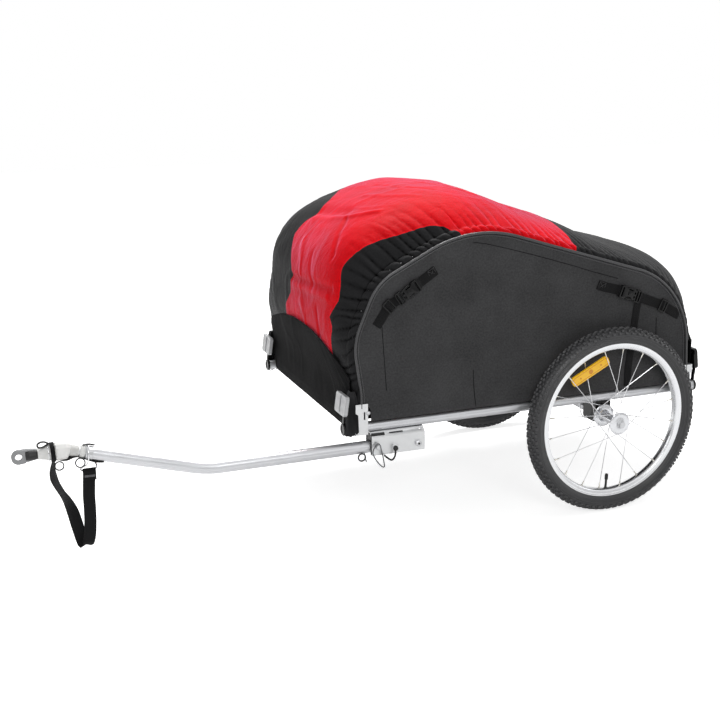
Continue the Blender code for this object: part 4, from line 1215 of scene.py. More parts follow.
class TRAILER_OT_fittings(bpy.types.Operator):
    """Brackets, caps, bolts, reflectors and castings with rounded edges and their small details"""
    bl_idname = "trailer.fittings"
    bl_label = "Fittings"

    def execute(self, context):
        plan = (
            ("hitch_bracket", "bracket", 0.7), ("arm_pivot_bolt", "bolt", 0.5), ("lock_pin", "bolt", 0.6),
            ("arm_end_plug", "bolt", 0.5), ("coupler_block", "cast", 2.2), ("coupler_bell", "cast", 0.4),
            ("flex_core", "rubber", 0.6), ("hitch_lug", "lug", 1.6), ("arm_stop_block", "rubber", 0.8),
            ("axle_left", "bolt", 0.4), ("axle_right", "bolt", 0.4),
            ("receiver_left", "plastic", 1.2), ("receiver_right", "plastic", 1.2),
        )
        for node, finish, bevel in plan:
            obj = fine_copy(node, bevel)
            if node == "hitch_bracket":
                slope_bracket(obj)
            dress_copy(obj, node, finish)
        for side, word in SIDES:
            for where, out, leg in ENDS:
                hoop_bracket(side, word, where, out, leg)
                rail_cap(side, word, where, out)
                if where == "front":
                    cloth_leg(side, word)
                end_reflector(side, word, where, out)
            spoke_reflector_frame(word)
            valve(side, word)
            receiver_clip(side, word)
        # A dark disc on the pivot bolt's head: painted shade that stands for the dark inside of a rivet
        at = (PIVOT[0], ARM_Y - 28.0, PIVOT[1])
        rivet_shade_disc = lathe("pivot_rivet_painted_shade", [(0, 0), (3, 0), (3, 0.4), (0, 0.4)], at, -Y_AXIS, 20)
        dress(rivet_shade_disc, "rubber", "frame")
        at = (BRACKET_X[0] - 1.0, ARM_Y - BRACKET_HALF + 2.2, 259)
        pad = slab("channel_edge_pad", rectangle(1.8, 52), 4.0, at)
        dress(pad, "rubber", "frame")
        return {"FINISHED"}


def slope_bracket(obj):
    """Give the channel its folded upper flange, which slopes to the near side and has a slot and a hole."""
    near = ARM_Y - BRACKET_HALF
    top = BRACKET_Z[1]
    drop, reach = 11.5, 13.0
    x0, x1 = BRACKET_X
    middle = (x0 + x1) / 2
    wedge = [(-6, -drop), (0.02, -drop), (reach, 0.02), (reach, 8), (-6, 8)]
    cut_away(obj, slab("tool", wedge, x1 - x0 + 8, (middle, near, top), Y_AXIS, Z_AXIS))
    obj.data.shade_flat()
    slant = Vector((0, reach, drop)).normalized()
    run = math.hypot(reach, drop)
    centre = Vector((middle, near + reach / 2, top - drop / 2)) - X_AXIS.cross(slant) * 1.3
    flange = slab("flange", rectangle(x1 - x0, run), 2.5, centre, X_AXIS, slant)
    slot = slab("tool", rounded(37, 4.2, 1.5, 3), 12, centre + X_AXIS * -4 + slant * 0.5, X_AXIS, slant)
    hole = slab("tool", rounded(4.2, 4.2, 2.0, 4), 12, centre + X_AXIS * 60 + slant * 2.5, X_AXIS, slant)
    cut_away(flange, slot, hole)
    refine(flange, 0.5, 2)
    dress(flange, "bracket", "frame")


def hoop_bracket(side, word, where, out, leg):
    """The clamped bracket: its outer plate narrows below the hinge, and a knob stands beside its slot."""
    node = "hoop_bracket_%s_%s" % (where, word)
    obj = fine_copy(node, 0.6)
    face = side * (RAIL_Y + 19.0)
    outline = [(out * 17.5, 4), (out * 9.5, -2), (out * 7.5, -50), (out * 30, -50), (out * 30, 4)]
    low, high = sorted((leg - out * 16.1, leg - out * 26.0))
    inboard = block("tool", (low, side * RAIL_Y - 9, HINGE_Z - 9), (high, side * RAIL_Y + 9, HINGE_Z + 9))
    cut_away(obj, slab("tool", outline, 8.0, (leg, face, HINGE_Z)), inboard)
    obj.data.shade_flat()
    dress_copy(obj, node, "bracket")
    knob = lathe("%s_knob" % node, [(0, 6.4), (2.6, 5.8), (4.9, 3.9), (6.0, 1.4), (6.0, 0), (0, 0)],
                 (leg - out * 17.2, face - side * 1.0, HINGE_Z + 1), Y_AXIS * side, 24)
    dress(knob, "bolt", "frame")


def rail_cap(side, word, where, out):
    """End cap with its bright ring."""
    node = "end_cap_%s_%s" % (where, word)
    obj = fine_copy(node, 0.8)
    dress_copy(obj, node, "plastic")
    x = RAIL_FRONT if out < 0 else RAIL_REAR
    profile = [(TUBE_R + r, h) for r, h in ((0.1, -0.4), (1.5, -0.2), (1.8, 1.0), (1.5, 2.2), (0.1, 2.4))]
    at = (x + out * -2.6, side * RAIL_Y, RAIL_Z)
    ring = lathe("cap_ring_%s_%s" % (where, word), profile, at, X_AXIS * out, 48, closed=True)
    dress(ring, "bolt", "frame")


def cloth_leg(side, word):
    """The front wall's corner: it comes down the side, wraps the rail and ends in a puckered hem."""
    stations = [
        (400, -722, -712), (380, -729, -706), (355, -731, -703), (330, -732, -702), (312, -732.5, -701.5),
        (296, -732, -701), (287, -731, -703), (284.5, -729, -707),
    ]
    turns = np.linspace(-0.5, 1.0, 26)
    rows = []
    for z, x0, x1 in stations:
        row = []
        for v in turns:
            # Round the rail's outer side below its axis, flat against the hoop's foot above it
            x = x0 + (x1 - x0) * max(0.0, v)
            y = RAIL_Y + TUBE_R + 3.2 + 1.2 * math.sin(v * 9.0 + z * 0.09) * max(0.0, v)
            if z < RAIL_Z:
                y -= 0.055 * (RAIL_Z - z) ** 2 * 0.5
            if v < 0:
                y += v * 30.0
                x = x0 - 0.6 * (1 + 2 * v)
            low = 1.6 * math.sin(v * 9 + 1) if z < 286 else 0.0
            row.append((x, side * y, z + low))
        rows.append(row)
    points = np.array(rows)
    uv = np.stack([points[..., 0], points[..., 2]], axis=-1)
    obj = cloth_piece("cloth_leg_" + word, points, uv, 1.4, flip=side < 0)
    dress(obj, "black_nylon", "frame")
    declare(obj, points, "rail_" + word)


def middle_of(node):
    """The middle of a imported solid, in the frame's metres and in trailer millimetres."""
    low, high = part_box(node)
    middle = (Vector(low) + Vector(high)) / 2
    return middle, Vector((middle.x / MM - X_SHIFT, middle.y / MM, middle.z / MM))


def end_reflector(side, word, where, out):
    """A reflector block: a clear lens with a rib at the front, a red lens in a black block at the rear."""
    node = "reflector_%s_%s" % (where, word)
    obj = fine_copy(node, 1.6, 3)
    middle, centre = middle_of(node)
    centre.y -= side * 1.5
    lean = math.radians(7.6)
    up = Vector((-out * math.sin(lean), 0, math.cos(lean)))
    ahead = Y_AXIS.cross(up) * (1 if Y_AXIS.cross(up).x * out > 0 else -1)
    if where == "front":
        # The lens stands a little inside its block
        shape = np.array([v.co for v in obj.data.vertices])
        shape = np.array(middle) + (shape - np.array(middle)) * (1.0, 0.9, 0.93) + (0, side * -0.0015, 0)
        obj.data.vertices.foreach_set("co", shape.ravel())
        obj.data.update()
        dress_copy(obj, node, "clear")
        rib = slab(node + "_rib", rounded(3.0, 42, 1.2, 3), 1.6, centre + ahead * 5.0, Y_AXIS, up)
        dress(rib, "plastic_grey", "frame")
    else:
        dress_copy(obj, node, "plastic")
        at = centre + Y_AXIS * (side * 1.5) + ahead * 4.9
        lens = slab(node + "_lens", rounded(68, 48, 4, 4), 1.4, at, Y_AXIS, up)
        dress(refine(lens, 0.5), "red_lens", "frame")


def on_wheel(deg):
    """The direction from a wheel's axle at an angle, as it stands at rest."""
    turn = math.radians(deg)
    return Vector((math.cos(turn), 0, math.sin(turn)))


def spoke_reflector_frame(word):
    """The moulded frame round the amber lens, its middle boss and its two clips."""
    node = "spoke_reflector_" + word
    ray = on_wheel(SPOKE_REFLECTOR_DEG)
    along = Vector((-ray.z, 0, ray.x))
    centre = middle_of(node)[1]
    length, height = 118.0, 27.0
    lens = refine(slab(node + "_lens", rounded(length, height, 9.5, 7), 6.4, centre, along, ray), 0.8, 2)
    dress(lens, "amber", "wheel_" + word, stands_for=node)
    pieces = []
    for face in (-1, 1):
        at = centre + Y_AXIS * (face * 3.1)
        ring = [at + along * u + ray * v for u, v in rounded(length - 9, height - 9, 6, 8)]
        pieces.append(rope("rim", ring, 0.8, 8, closed=True))
        pieces.append(lathe("boss", [(0, 0.9), (5.4, 0.9), (6.2, 0.2), (6.2, -0.4), (0, -0.4)], at,
                            Y_AXIS * face, 28))
        for shift in (-33, 33):
            spot = at + along * shift
            pieces.append(lathe("dot", [(0, 0.5), (2.2, 0.5), (2.6, 0), (0, 0)], spot, Y_AXIS * face, 16))
    dress(merge(node + "_frame", pieces), "amber_deep", "wheel_" + word)


def valve(side, word):
    """A rubber valve with its cap, standing in from the rim."""
    ray = on_wheel(VALVE_DEG)
    profile = [(0, -2), (4.2, -2), (4.2, 1), (3.2, 3), (3.0, 22), (4.4, 22.6), (4.6, 24), (4.6, 35),
               (3.6, 38.5), (0, 39)]
    foot = Vector((0, side * WHEEL_Y, AXLE_Z)) + ray * (RIM_R - RIM_DEPTH - 0.7)
    stem = lathe("valve_stem_" + word, profile, foot, -ray, 20)
    dress(stem, "rubber", "wheel_" + word, stands_for="valve_" + word)


def receiver_clip(side, word):
    """A spring wire that hangs on the receiver and holds the axle's groove."""
    y = side * (RAIL_Y - 38.0)
    loop = [(-23.0, 288), (-30, 289), (-38, 284), (-43, 268), (-41, 248), (-33, 236), (-26, 234),
            (-23.4, 240)]
    path = [(x, y - side * 0.12 * (z - 260), z) for x, z in loop]
    wire = rope("receiver_clip_" + word, smooth_path(path, 4), 1.3, 10)
    dress(wire, "chrome", "frame")


# Straps on the side walls


def rectangle_with_slots(name, outline, thickness, at, along, up, slots):
    """A moulded bar frame: an outline with slots across it, all with rounded edges."""
    body = slab(name, outline, thickness, at, along, up)
    tools = []
    for middle, long, wide in slots:
        tools.append(slab("tool", rounded(long, wide, min(long, wide) / 2 - 0.1, 3), thickness * 3,
                          at + along * middle, along, up))
    cut_away(body, *tools)
    return refine(body, 0.6, 2, 0, 40)


# Outline of a buckle's sprung prong, ahead and outwards
PRONG = ((-17, 7), (-15, 13.5), (-8, 14.4), (2, 17.2), (9, 17.0), (12.5, 13.5), (10.5, 11.0), (4, 12.2),
         (-6, 10.2), (-13, 7.5))


def side_release_buckle(name, at, along, out):
    """Male ladder with two sprung prongs, held in an open female body with a bar for the webbing."""
    up = out.cross(along).normalized()
    ladder = rectangle_with_slots(
        "ladder", rounded(18, 34, 3, 4), 4.6, at - along * 25, along, up, [(-4.2, 4.4, 27), (4.0, 4.4, 27)]
    )
    prongs = []
    for sign in (-1, 1):
        prong = slab("prong", [(a, b * sign) for a, b in PRONG], 5.0, at + out * 0.8, along, up)
        prongs.append(refine(prong, 1.2, 3))
    guide = slab("guide", rounded(24, 5.5, 2.2, 3), 5.4, at - along * 5 + out * 0.4, along, up)
    half = [(-10, 12.2), (-6.5, 12.2), (-2, 8.6), (9, 8.6), (13.5, 12.4), (16, 16.5), (30, 16.5),
            (33, 13.5)]
    shell = half + [(a, -b) for a, b in reversed(half)]
    female = rectangle_with_slots("female", shell, 9.0, at, along, up, [(26.4, 4.4, 26)])
    rib = slab("rib", rounded(10, 9, 2.5, 4), 2.0, at + along * 3 + out * 4.8, along, up)
    return merge(name, [ladder, refine(guide, 1.0), female, refine(rib, 0.8), *prongs])


def slider_bar(name, at, along, out):
    """The bar that sets a strap's length."""
    up = out.cross(along).normalized()
    return rectangle_with_slots(name, rounded(24, 35, 3.5, 4), 3.2, at, along, up,
                                [(-5.0, 6.0, 27), (5.0, 6.0, 27)])


def webbing_on_wall(name, side, route, width=25.0, thickness=1.5):
    """Webbing that lies on a side wall: places along and up, and the height above the cloth."""
    flat = smooth_path([(x, lift, z) for x, z, lift in route], 3.0)
    path = [on_wall(side, p.x, p.z, p.y) for p in flat]
    widths = [tangent_at(path, i).cross(Y_AXIS) for i in range(len(path))]
    return ribbon(name, path, widths, width, thickness)


def between(start, end):
    """The direction from one place on a wall to another."""
    return (Vector((end[0], 0, end[1])) - Vector((start[0], 0, start[1]))).normalized()


def ahead_of(at, direction, run, *lift):
    """A place on a wall at a run from another, and its height above the cloth where that is given."""
    return at[0] + direction.x * run, at[1] + direction.z * run, *lift


def wall_strap(side, word, where, hem, slide, clasp, sewn):
    """One strap: webbing from the hem through the slider and the buckle to its sewn end."""
    body = "side_" + word
    out = Y_AXIS * side
    ahead = between(slide, sewn)
    at = on_wall(side, *clasp, 6.6)
    buckle = side_release_buckle("buckle_%s_%s_moulded" % (where, word), at, ahead, out)
    dress(buckle, "plastic", body, stands_for="buckle_%s_%s" % (where, word))
    run = (between(hem, slide) + ahead).normalized()
    dress(slider_bar("slider_%s_%s" % (where, word), on_wall(side, *slide, 4.2), run, out), "plastic", body)
    near, far = ahead_of(clasp, ahead, -25), ahead_of(clasp, ahead, 30)
    routes = {
        "webbing_low": [
            (*hem, 0.9), ((hem[0] + slide[0]) / 2, (hem[1] + slide[1]) / 2, 1.8),
            ahead_of(slide, run, -8, 2.0), (*slide, 6.4), ahead_of(slide, run, 9, 3.0),
            ((slide[0] + near[0]) / 2, (slide[1] + near[1]) / 2, 2.6), ahead_of(near, ahead, -6, 4.6),
            ahead_of(near, ahead, 1, 7.6),
        ],
        "webbing_high": [
            ahead_of(far, ahead, -3, 8.4), ahead_of(far, ahead, 4, 7.4), ahead_of(far, ahead, 12, 3.2),
            ahead_of(sewn, ahead, -24, 2.4), (*sewn, 2.2),
        ],
        "webbing_back": [ahead_of(sewn, ahead, -26, 0.8), (*sewn, 0.8)],
    }
    straps = merge("webbing_%s_%s" % (where, word),
                   [webbing_on_wall(key, side, way) for key, way in routes.items()])
    dress(straps, "webbing", body)
    box_stitch(side, word, where, sewn, ahead)


# The two straps of a side: hem end, slider, buckle and sewn end, as places along and up
STRAPS = {
    "front": ((-654, 556), (-621, 603), (-573, 634), (-498, 682)),
    "rear": ((216, 506), (163, 537), (57, 578), (-38, 609)),
}


class TRAILER_OT_straps(bpy.types.Operator):
    """Webbing straps with side-release buckles and sliders on both side walls"""
    bl_idname = "trailer.straps"
    bl_label = "Side straps"

    def execute(self, context):
        for side, word in SIDES:
            body = "side_" + word
            for where, (hem, slide, clasp, sewn) in STRAPS.items():
                wall_strap(side, word, where, hem, slide, clasp, sewn)
            drop = webbing_on_wall("webbing_drop_" + word, side, [
                (87, 552, 2.2), (84, 525, 1.0), (76, 440, 0.9), (69, 370, 0.9), (66, 326, 0.9),
            ], 22.0)
            dress(drop, "webbing", body)
        return {"FINISHED"}


def box_stitch(side, word, where, sewn, ahead):
    """A sewn square with its cross, in dull thread."""
    end = Vector((sewn[0], 0, sewn[1])) - ahead * 3
    across = ahead.cross(Y_AXIS)
    corners = [end + across * 10, end - across * 10, end - ahead * 18 - across * 10,
               end - ahead * 18 + across * 10]
    threads = []
    for a, b in ((0, 1), (1, 2), (2, 3), (3, 0), (0, 2), (1, 3)):
        path = [corners[a].lerp(corners[b], k / 6) for k in range(7)]
        threads.append(rope("thread", [on_wall(side, p.x, p.z, 3.05) for p in path], 0.35, 5))
    dress(merge("box_stitch_%s_%s" % (where, word), threads), "piping", "side_" + word)


# Coupler, safety strap and lock pin


def head_frame():
    """The coupler head: where it starts, and its directions forward and up."""
    a = math.radians(HEAD_DROP_DEG)
    forward = Vector((-math.cos(a), 0, -math.sin(a)))
    return Vector((HEAD_START[0], ARM_Y, HEAD_START[1])), forward, Y_AXIS.cross(forward)


def wire_ring(name, centre, a, b, radius, wire, finish, turns=1.0, lift=0.0):
    """A ring of wire in the plane of a and b; split rings have more than one turn."""
    a, b = Vector(a).normalized(), Vector(b).normalized()
    axis = a.cross(b)
    count = int(36 * turns)
    path = []
    for k in range(count + (0 if turns == 1.0 else 1)):
        angle = 2 * math.pi * turns * k / count
        at = Vector(centre) + a * (radius * math.cos(angle)) + b * (radius * math.sin(angle))
        path.append(at + axis * (lift * k / count))
    ring = rope(name, path, wire, 10, closed=turns == 1.0)
    dress(ring, finish, "arm")


class TRAILER_OT_coupler(bpy.types.Operator):
    """Safety strap, rings and bands at the coupler, and the pin, tether and ring at the hitch bracket"""
    bl_idname = "trailer.coupler"
    bl_label = "Coupler and straps"

    def execute(self, context):
        start, forward, up = head_frame()
        tip = arm_front_point(ARM_FRONT_RUN)
        d = Vector((arm_direction().x, 0, arm_direction().y))
        # Threads and nut on the pale plug between the block and the arm
        ribs = [(11.6, 31.5)]
        for k in range(7):
            ribs += [(12.0, 32 + k * 2.6), (13.2, 32.7 + k * 2.6), (13.2, 33.6 + k * 2.6),
                     (12.0, 34.3 + k * 2.6)]
        ribs += [(11.6, 51.0)]
        threads = lathe("plug_threads", ribs, tip, d, 40)
        dress(threads, "cast", "arm")
        profile = [(11.8, 17), (14.6, 17.6), (15.4, 19), (15.4, 27.5), (14.4, 29), (11.8, 29.4)]
        dress(refine(lathe("plug_nut", profile, tip, d, 6), 1.0), "cast", "arm")
        # The lug's cheek behind and round the rubber
        cheek = [(-4, 15.4), (-14, 15.4), (-30, 14.0), (-42, 12.0), (-44, 9.0), (-44, -9.0), (-40, -11.5),
                 (-26, -13.5), (-12, -15.4), (-4, -15.4), (-12, -6), (-14, 0), (-12, 6)]
        body = slab("lug_cheek", cheek, 9.0, start + forward * 107.0 + Y_AXIS * 3.4, forward, up)
        dress(refine(body, 1.6, 3), "lug", "hitch_head")
        # Wire ring and black band round the bell
        wire_ring("bell_wire", start + forward * 43.0, Y_AXIS, up, 18.2, 1.3, "chrome")
        band = [start + forward * 34.0 + (Y_AXIS * math.cos(a) + up * math.sin(a)) * 21.6
                for a in np.linspace(-1.3, 4.5, 40)]
        belt = ribbon("bell_band", band, [forward] * len(band), 10.0, 1.8)
        dress(belt, "webbing", "arm")
        # Lanyard loop on top
        loop = [(-1437, -325, 359), (-1446, -330, 366), (-1456, -332, 366.5), (-1462, -330, 361),
                (-1460, -328, 354), (-1452, -326, 352.5), (-1444, -324, 355), (-1436, -322, 359)]
        loop = smooth_path(loop, 3)
        lanyard = rope("lanyard_loop", loop, 2.1, 10)
        dress(lanyard, "rubber", "arm")
        # Black band along the underside, and two split rings on it
        under = [(-1428, -321, 329), (-1419, -321, 321.5), (-1409, -321, 317.5), (-1397, -321, 317.5),
                 (-1388, -321, 321), (-1378, -321, 322), (-1366, -321, 318), (-1352, -321, 310),
                 (-1335, -321, 303.5), (-1319, -321, 301.5)]
        path = smooth_path(under, 4)
        strip = ribbon("under_band", path, [Y_AXIS] * len(path), 24.0, 2.2)
        dress(strip, "webbing", "arm")
        for number, (x, z, radius) in enumerate(((-1418, 307, 9.6), (-1372, 308, 10.4))):
            wire_ring("split_ring_%d" % number, (x, ARM_Y - 12.0, z), X_AXIS, Z_AXIS + Y_AXIS * 0.1, radius,
                      1.5, "split_ring", 2.1, 2.6)
        # Wire clamp: over the arm, down to a hook at the front and along a bar that carries the webbing
        loop = [(-1350, -321, 343.5), (-1351, -331, 341.5), (-1353, -340, 331), (-1354, -340.5, 316),
                (-1358, -338, 303), (-1367, -331, 296), (-1372, -327, 290), (-1367, -324, 285.5),
                (-1352, -323, 285), (-1338, -322, 285.5), (-1334, -313, 291), (-1340, -302, 304),
                (-1346, -301.5, 320), (-1349, -303, 333), (-1350, -311, 341.5)]
        loop = smooth_path(loop + loop[:1], 3)[:-1]
        clamp = rope("clamp_wire", loop, 1.7, 10, closed=True)
        dress(clamp, "chrome", "arm", stands_for="strap_ring")
        bar = [(-1363, ARM_Y, 344.5), (-1350, ARM_Y, 345.5), (-1336, ARM_Y, 342)]
        dress(rope("clamp_bar", bar, 2.2, 12), "split_ring", "arm")
        safety_strap()
        pin_and_tether()
        return {"FINISHED"}


def safety_strap():
    """A 28 mm webbing strap: it hangs from the clamp, turns at the bottom and rises twisted to the bell."""
    stations = (
        ((-1352, -321, 288), (1, 0.05, 0)), ((-1353, -323, 274), (1, 0.06, 0)),
        ((-1355, -325, 251), (1, 0.08, 0)), ((-1357, -326, 223), (1, 0.1, 0)),
        ((-1357, -326, 195), (1, 0.1, 0)), ((-1358, -325, 158), (1, 0.08, 0)),
        ((-1361, -324, 126), (1, 0.05, 0.02)), ((-1366, -322, 107), (1, 0.05, 0)),
        ((-1371, -318, 103), (1, 0, 0)), ((-1376, -314, 107), (1, 0.02, 0)),
        ((-1381, -313, 126), (1, 0.02, 0.06)), ((-1387, -314, 153), (1, 0.0, 0.14)),
        ((-1394, -316, 184), (0.97, 0.16, 0.2)), ((-1403, -318, 210), (0.88, 0.42, 0.2)),
        ((-1415, -320, 236), (0.68, 0.7, 0.15)), ((-1425, -321, 258), (0.46, 0.88, 0.05)),
        ((-1431, -322, 276), (0.5, 0.86, 0)), ((-1433, -323, 294), (0.62, 0.78, 0)),
        ((-1431, -325, 310), (0.5, 0.86, 0)), ((-1429, -326, 320), (0.36, 0.93, 0)),
    )
    path = smooth_path([at for at, _ in stations], 5)
    spread = np.linspace(0, len(stations) - 1, len(path))
    wide = []
    for value in spread:
        i = min(int(value), len(stations) - 2)
        wide.append(Vector(stations[i][1]).lerp(Vector(stations[i + 1][1]), value - i))
    strap = ribbon("safety_webbing", path, wide, 28.0, 1.9, 8)
    dress(strap, "webbing", "arm", stands_for="safety_strap")
    # The top of the strap goes round the wire and is sewn down with a bar tack
    wrap = [(-1352, -328, 262), (-1352, -327.5, 274), (-1352, -327.5, 284), (-1352, -323.5, 289),
            (-1352, -319, 284), (-1352, -320, 268)]
    path = smooth_path(wrap, 3)
    fold = ribbon("strap_fold", path, [Vector((1, 0.05, 0))] * len(path), 29.0, 2.0)
    tack = [rope("tack", [(-1364, -329.2, 274 - k * 1.8), (-1340, -329.0, 273.5 - k * 1.8)], 0.7, 6)
            for k in range(3)]
    dress(fold, "webbing", "arm")
    dress(merge("bar_tack", tack), "thread", "arm")


def pin_and_tether():
    """Bail of the lock pin, its black tether from the stud, and the spare ring on the arm."""
    y = ARM_Y - BRACKET_HALF - 9.0
    loop = [(-671, 240), (-669, 234), (-662, 221), (-653, 209), (-645, 202), (-640.5, 203), (-642, 216),
            (-644.5, 231), (-648, 246), (-654, 262.5), (-662, 258), (-668, 250)]
    path = [(x, y - 2.0 * math.sin(k * 0.5), z) for k, (x, z) in enumerate(loop + loop[:1])]
    bail = rope("pin_bail_wire", smooth_path(path, 3)[:-1], 1.6, 10, closed=True)
    dress(bail, "bail", "pin", stands_for="pin_bail")
    out = ARM_Y - BRACKET_HALF - 10.5
    profile = [(0, 5.2), (3.4, 4.6), (6.0, 2.4), (6.6, 0.0), (6.0, -2.6), (4.0, -4.2), (0, -4.4)]
    collar = lathe("tether_end", profile, (STUD[0] - 4, out + 1, STUD[1] + 1), -Y_AXIS, 20)
    dress(collar, "rubber", "frame")
    route = [(-611, out, 240), (-612, out - 1, 230), (-616, out - 1, 221), (-622, out - 1, 217.5),
             (-630, out, 222), (-641, out, 232)]
    route = smooth_path(route, 3)
    tether = rope("pin_tether", route, 2.4, 12)
    dress(tether, "rubber", "frame")
    wire_ring("spare_ring", (-694, ARM_Y - 13.0, 228), X_AXIS, Z_AXIS, 9.2, 1.9, "split_ring", 2.1, 2.4)
    tail = rope("spare_ring_link",
                [(-686, ARM_Y - 13, 237), (-685.5, ARM_Y - 13.5, 226), (-681.5, ARM_Y - 13.5, 215)], 1.4, 8)
    dress(tail, "split_ring", "arm")


# Bay floor


# How far the floor cloth sags, and the height of its folds
FLOOR_SAG = 3.0
FLOOR_FOLDS = 0.6


class TRAILER_OT_floor(bpy.types.Operator):
    """Floor cloth, laced between the rails with a light sag"""
    bl_idname = "trailer.floor"
    bl_label = "Floor cloth"

    def execute(self, context):
        low, high = (Vector(corner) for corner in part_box("floor_panel"))
        x = np.linspace(low.x / MM - X_SHIFT, high.x / MM - X_SHIFT, 110)
        y = np.linspace(low.y / MM, high.y / MM, 70)
        grid_x, grid_y = np.meshgrid(x, y, indexing="ij")
        edge = np.minimum(np.abs(np.abs(grid_y) - y.max()), np.minimum(grid_x - x.min(), x.max() - grid_x))
        soft = 1 - np.exp(-(edge / 60) ** 2)
        z = high.z / MM - FLOOR_SAG * soft + FLOOR_FOLDS * folds(grid_x, grid_y, seed=91) * soft
        points = np.stack([grid_x, grid_y, z], axis=-1)
        uv = np.stack([grid_x, grid_y], axis=-1)
        obj = cloth_piece("floor_cloth", points, uv, 1.6)
        dress(obj, "side", "frame", stands_for="floor_panel")
        declare(obj, points, "rail_left", "rail_right")
        return {"FINISHED"}


# Wheels


class TRAILER_OT_wheels(bpy.types.Operator):
    """Knobbly tyres on polished rims, laced with spokes to small hubs"""
    bl_idname = "trailer.wheels"
    bl_label = "Wheels"

    def execute(self, context):
        for side, word in SIDES:
            make_tyre(side, word)
            make_rim(side, word)
            make_spokes(side, word)
        return {"FINISHED"}


# Rows of knobs: degrees round the section, length, width, shift in pitches, share of the full height
KNOB_ROWS = (
    (0.0, 8.6, 8.6, 0.0, 1.0), (19.0, 8.2, 5.6, 0.5, 1.0), (-19.0, 8.2, 5.6, 0.5, 1.0),
    (38.0, 7.0, 6.6, 0.0, 1.0), (-38.0, 7.0, 6.6, 0.0, 1.0), (57.0, 9.0, 6.0, 0.5, 0.8),
    (-57.0, 9.0, 6.0, 0.5, 0.8),
)
# The casing's section is an oval of this radius outwards and this half width across
CASING_R = 21.0
CASING_HALF = 23.0


def make_tyre(side, word):
    """A tyre's casing with its blocks of tread and the lines on its sidewalls."""
    centre = (0, side * WHEEL_Y, AXLE_Z)
    knob = sizes().knob_height / MM
    mid, half = TYRE_R - knob - CASING_R, CASING_HALF
    outer = [(205.0, -12.0), (209.5, -12.6), (211.5, -15.5)]
    for deg in range(-72, 73, 8):
        a = math.radians(deg)
        outer.append((mid + CASING_R * math.cos(a), half * math.sin(a)))
    outer += [(211.5, 15.5), (209.5, 12.6), (205.0, 12.0)]
    inner = [(206.0, 9.0)]
    for deg in range(70, -71, -20):
        a = math.radians(deg)
        inner.append((mid + 17.5 * math.cos(a), (half - 3.5) * math.sin(a)))
    inner.append((206.0, -9.0))
    pieces = [lathe("casing", outer + inner, centre, Y_AXIS * side, 144, closed=True)]
    count = sizes().knobs
    points, faces = [], []
    for deg, long, wide, shift, tall in KNOB_ROWS:
        tilt = math.radians(deg)
        for k in range(count):
            a = 2 * math.pi * (k + shift) / count
            base_r = mid + CASING_R * math.cos(tilt)
            base_y = half * math.sin(tilt)
            out_r, out_y = math.cos(tilt), math.sin(tilt)
            first = len(points)
            for h, shrink in ((-1.2, 1.0), (knob * tall * 0.7, 0.94), (knob * tall, 0.74)):
                for ua, uy in ((-1, -1), (1, -1), (1, 1), (-1, 1)):
                    r = base_r + out_r * h - out_y * (uy * wide / 2 * shrink)
                    y = base_y + out_y * h + out_r * (uy * wide / 2 * shrink)
                    swing = a + ua * long / 2 * shrink / r
                    points.append((r * math.cos(swing), centre[1] + side * y, AXLE_Z + r * math.sin(swing)))
            for level in (0, 4):
                low = first + level
                for c in range(4):
                    n = (c + 1) % 4
                    faces.append((low + c, low + n, low + 4 + n, low + 4 + c))
            faces.append((first + 8, first + 9, first + 10, first + 11))
    blocks = mesh_piece("knobs", points, faces, flat=True)
    tidy_normals(blocks)
    pieces.append(blocks)
    # Raised line on each sidewall, and the bead's edge
    for y in (-1, 1):
        for r, w in ((217.5, 0.5), (226.0, 0.7)):
            a = math.acos(min(1.0, (r - mid) / CASING_R))
            ring = [(r * math.cos(q), centre[1] + y * (half * math.sin(a) + 0.1), AXLE_Z + r * math.sin(q))
                    for q in np.linspace(0, 2 * math.pi, 120, endpoint=False)]
            pieces.append(rope("line", ring, w, 6, closed=True))
    dress(merge("tyre_knobbly_" + word, pieces), "tyre", "wheel_" + word, stands_for="tyre_" + word)


def make_rim(side, word):
    """A polished rim with hooked flanges."""
    centre = (0, side * WHEEL_Y, AXLE_Z)
    low = RIM_R - RIM_DEPTH
    half = [(low, 0.0), (low + 0.4, 4.5), (low + 2.2, 8.5), (low + 4.6, 11.6), (low + 6.2, 12.6),
            (low + 7.0, 12.4), (RIM_R - 2.0, 13.2), (RIM_R - 0.6, 14.0), (RIM_R + 0.4, 13.8),
            (RIM_R + 0.2, 12.6), (RIM_R - 9.0, 11.6), (RIM_R - 9.6, 6.0)]
    profile = list(reversed([(r, -h) for r, h in half[1:]])) + half
    rim = lathe("rim_polished_" + word, profile, centre, Y_AXIS * side, 160, closed=True)
    rim.data.set_sharp_from_angle(angle=math.radians(50))
    dress(rim, "rim", "wheel_" + word, stands_for="rim_" + word)


# A nipple's profile, as radius and height along the spoke
NIPPLE = ((0, -13), (1.35, -13), (1.7, -12), (1.9, -2.4), (2.7, -1.8), (2.7, 1.2), (0, 1.2))


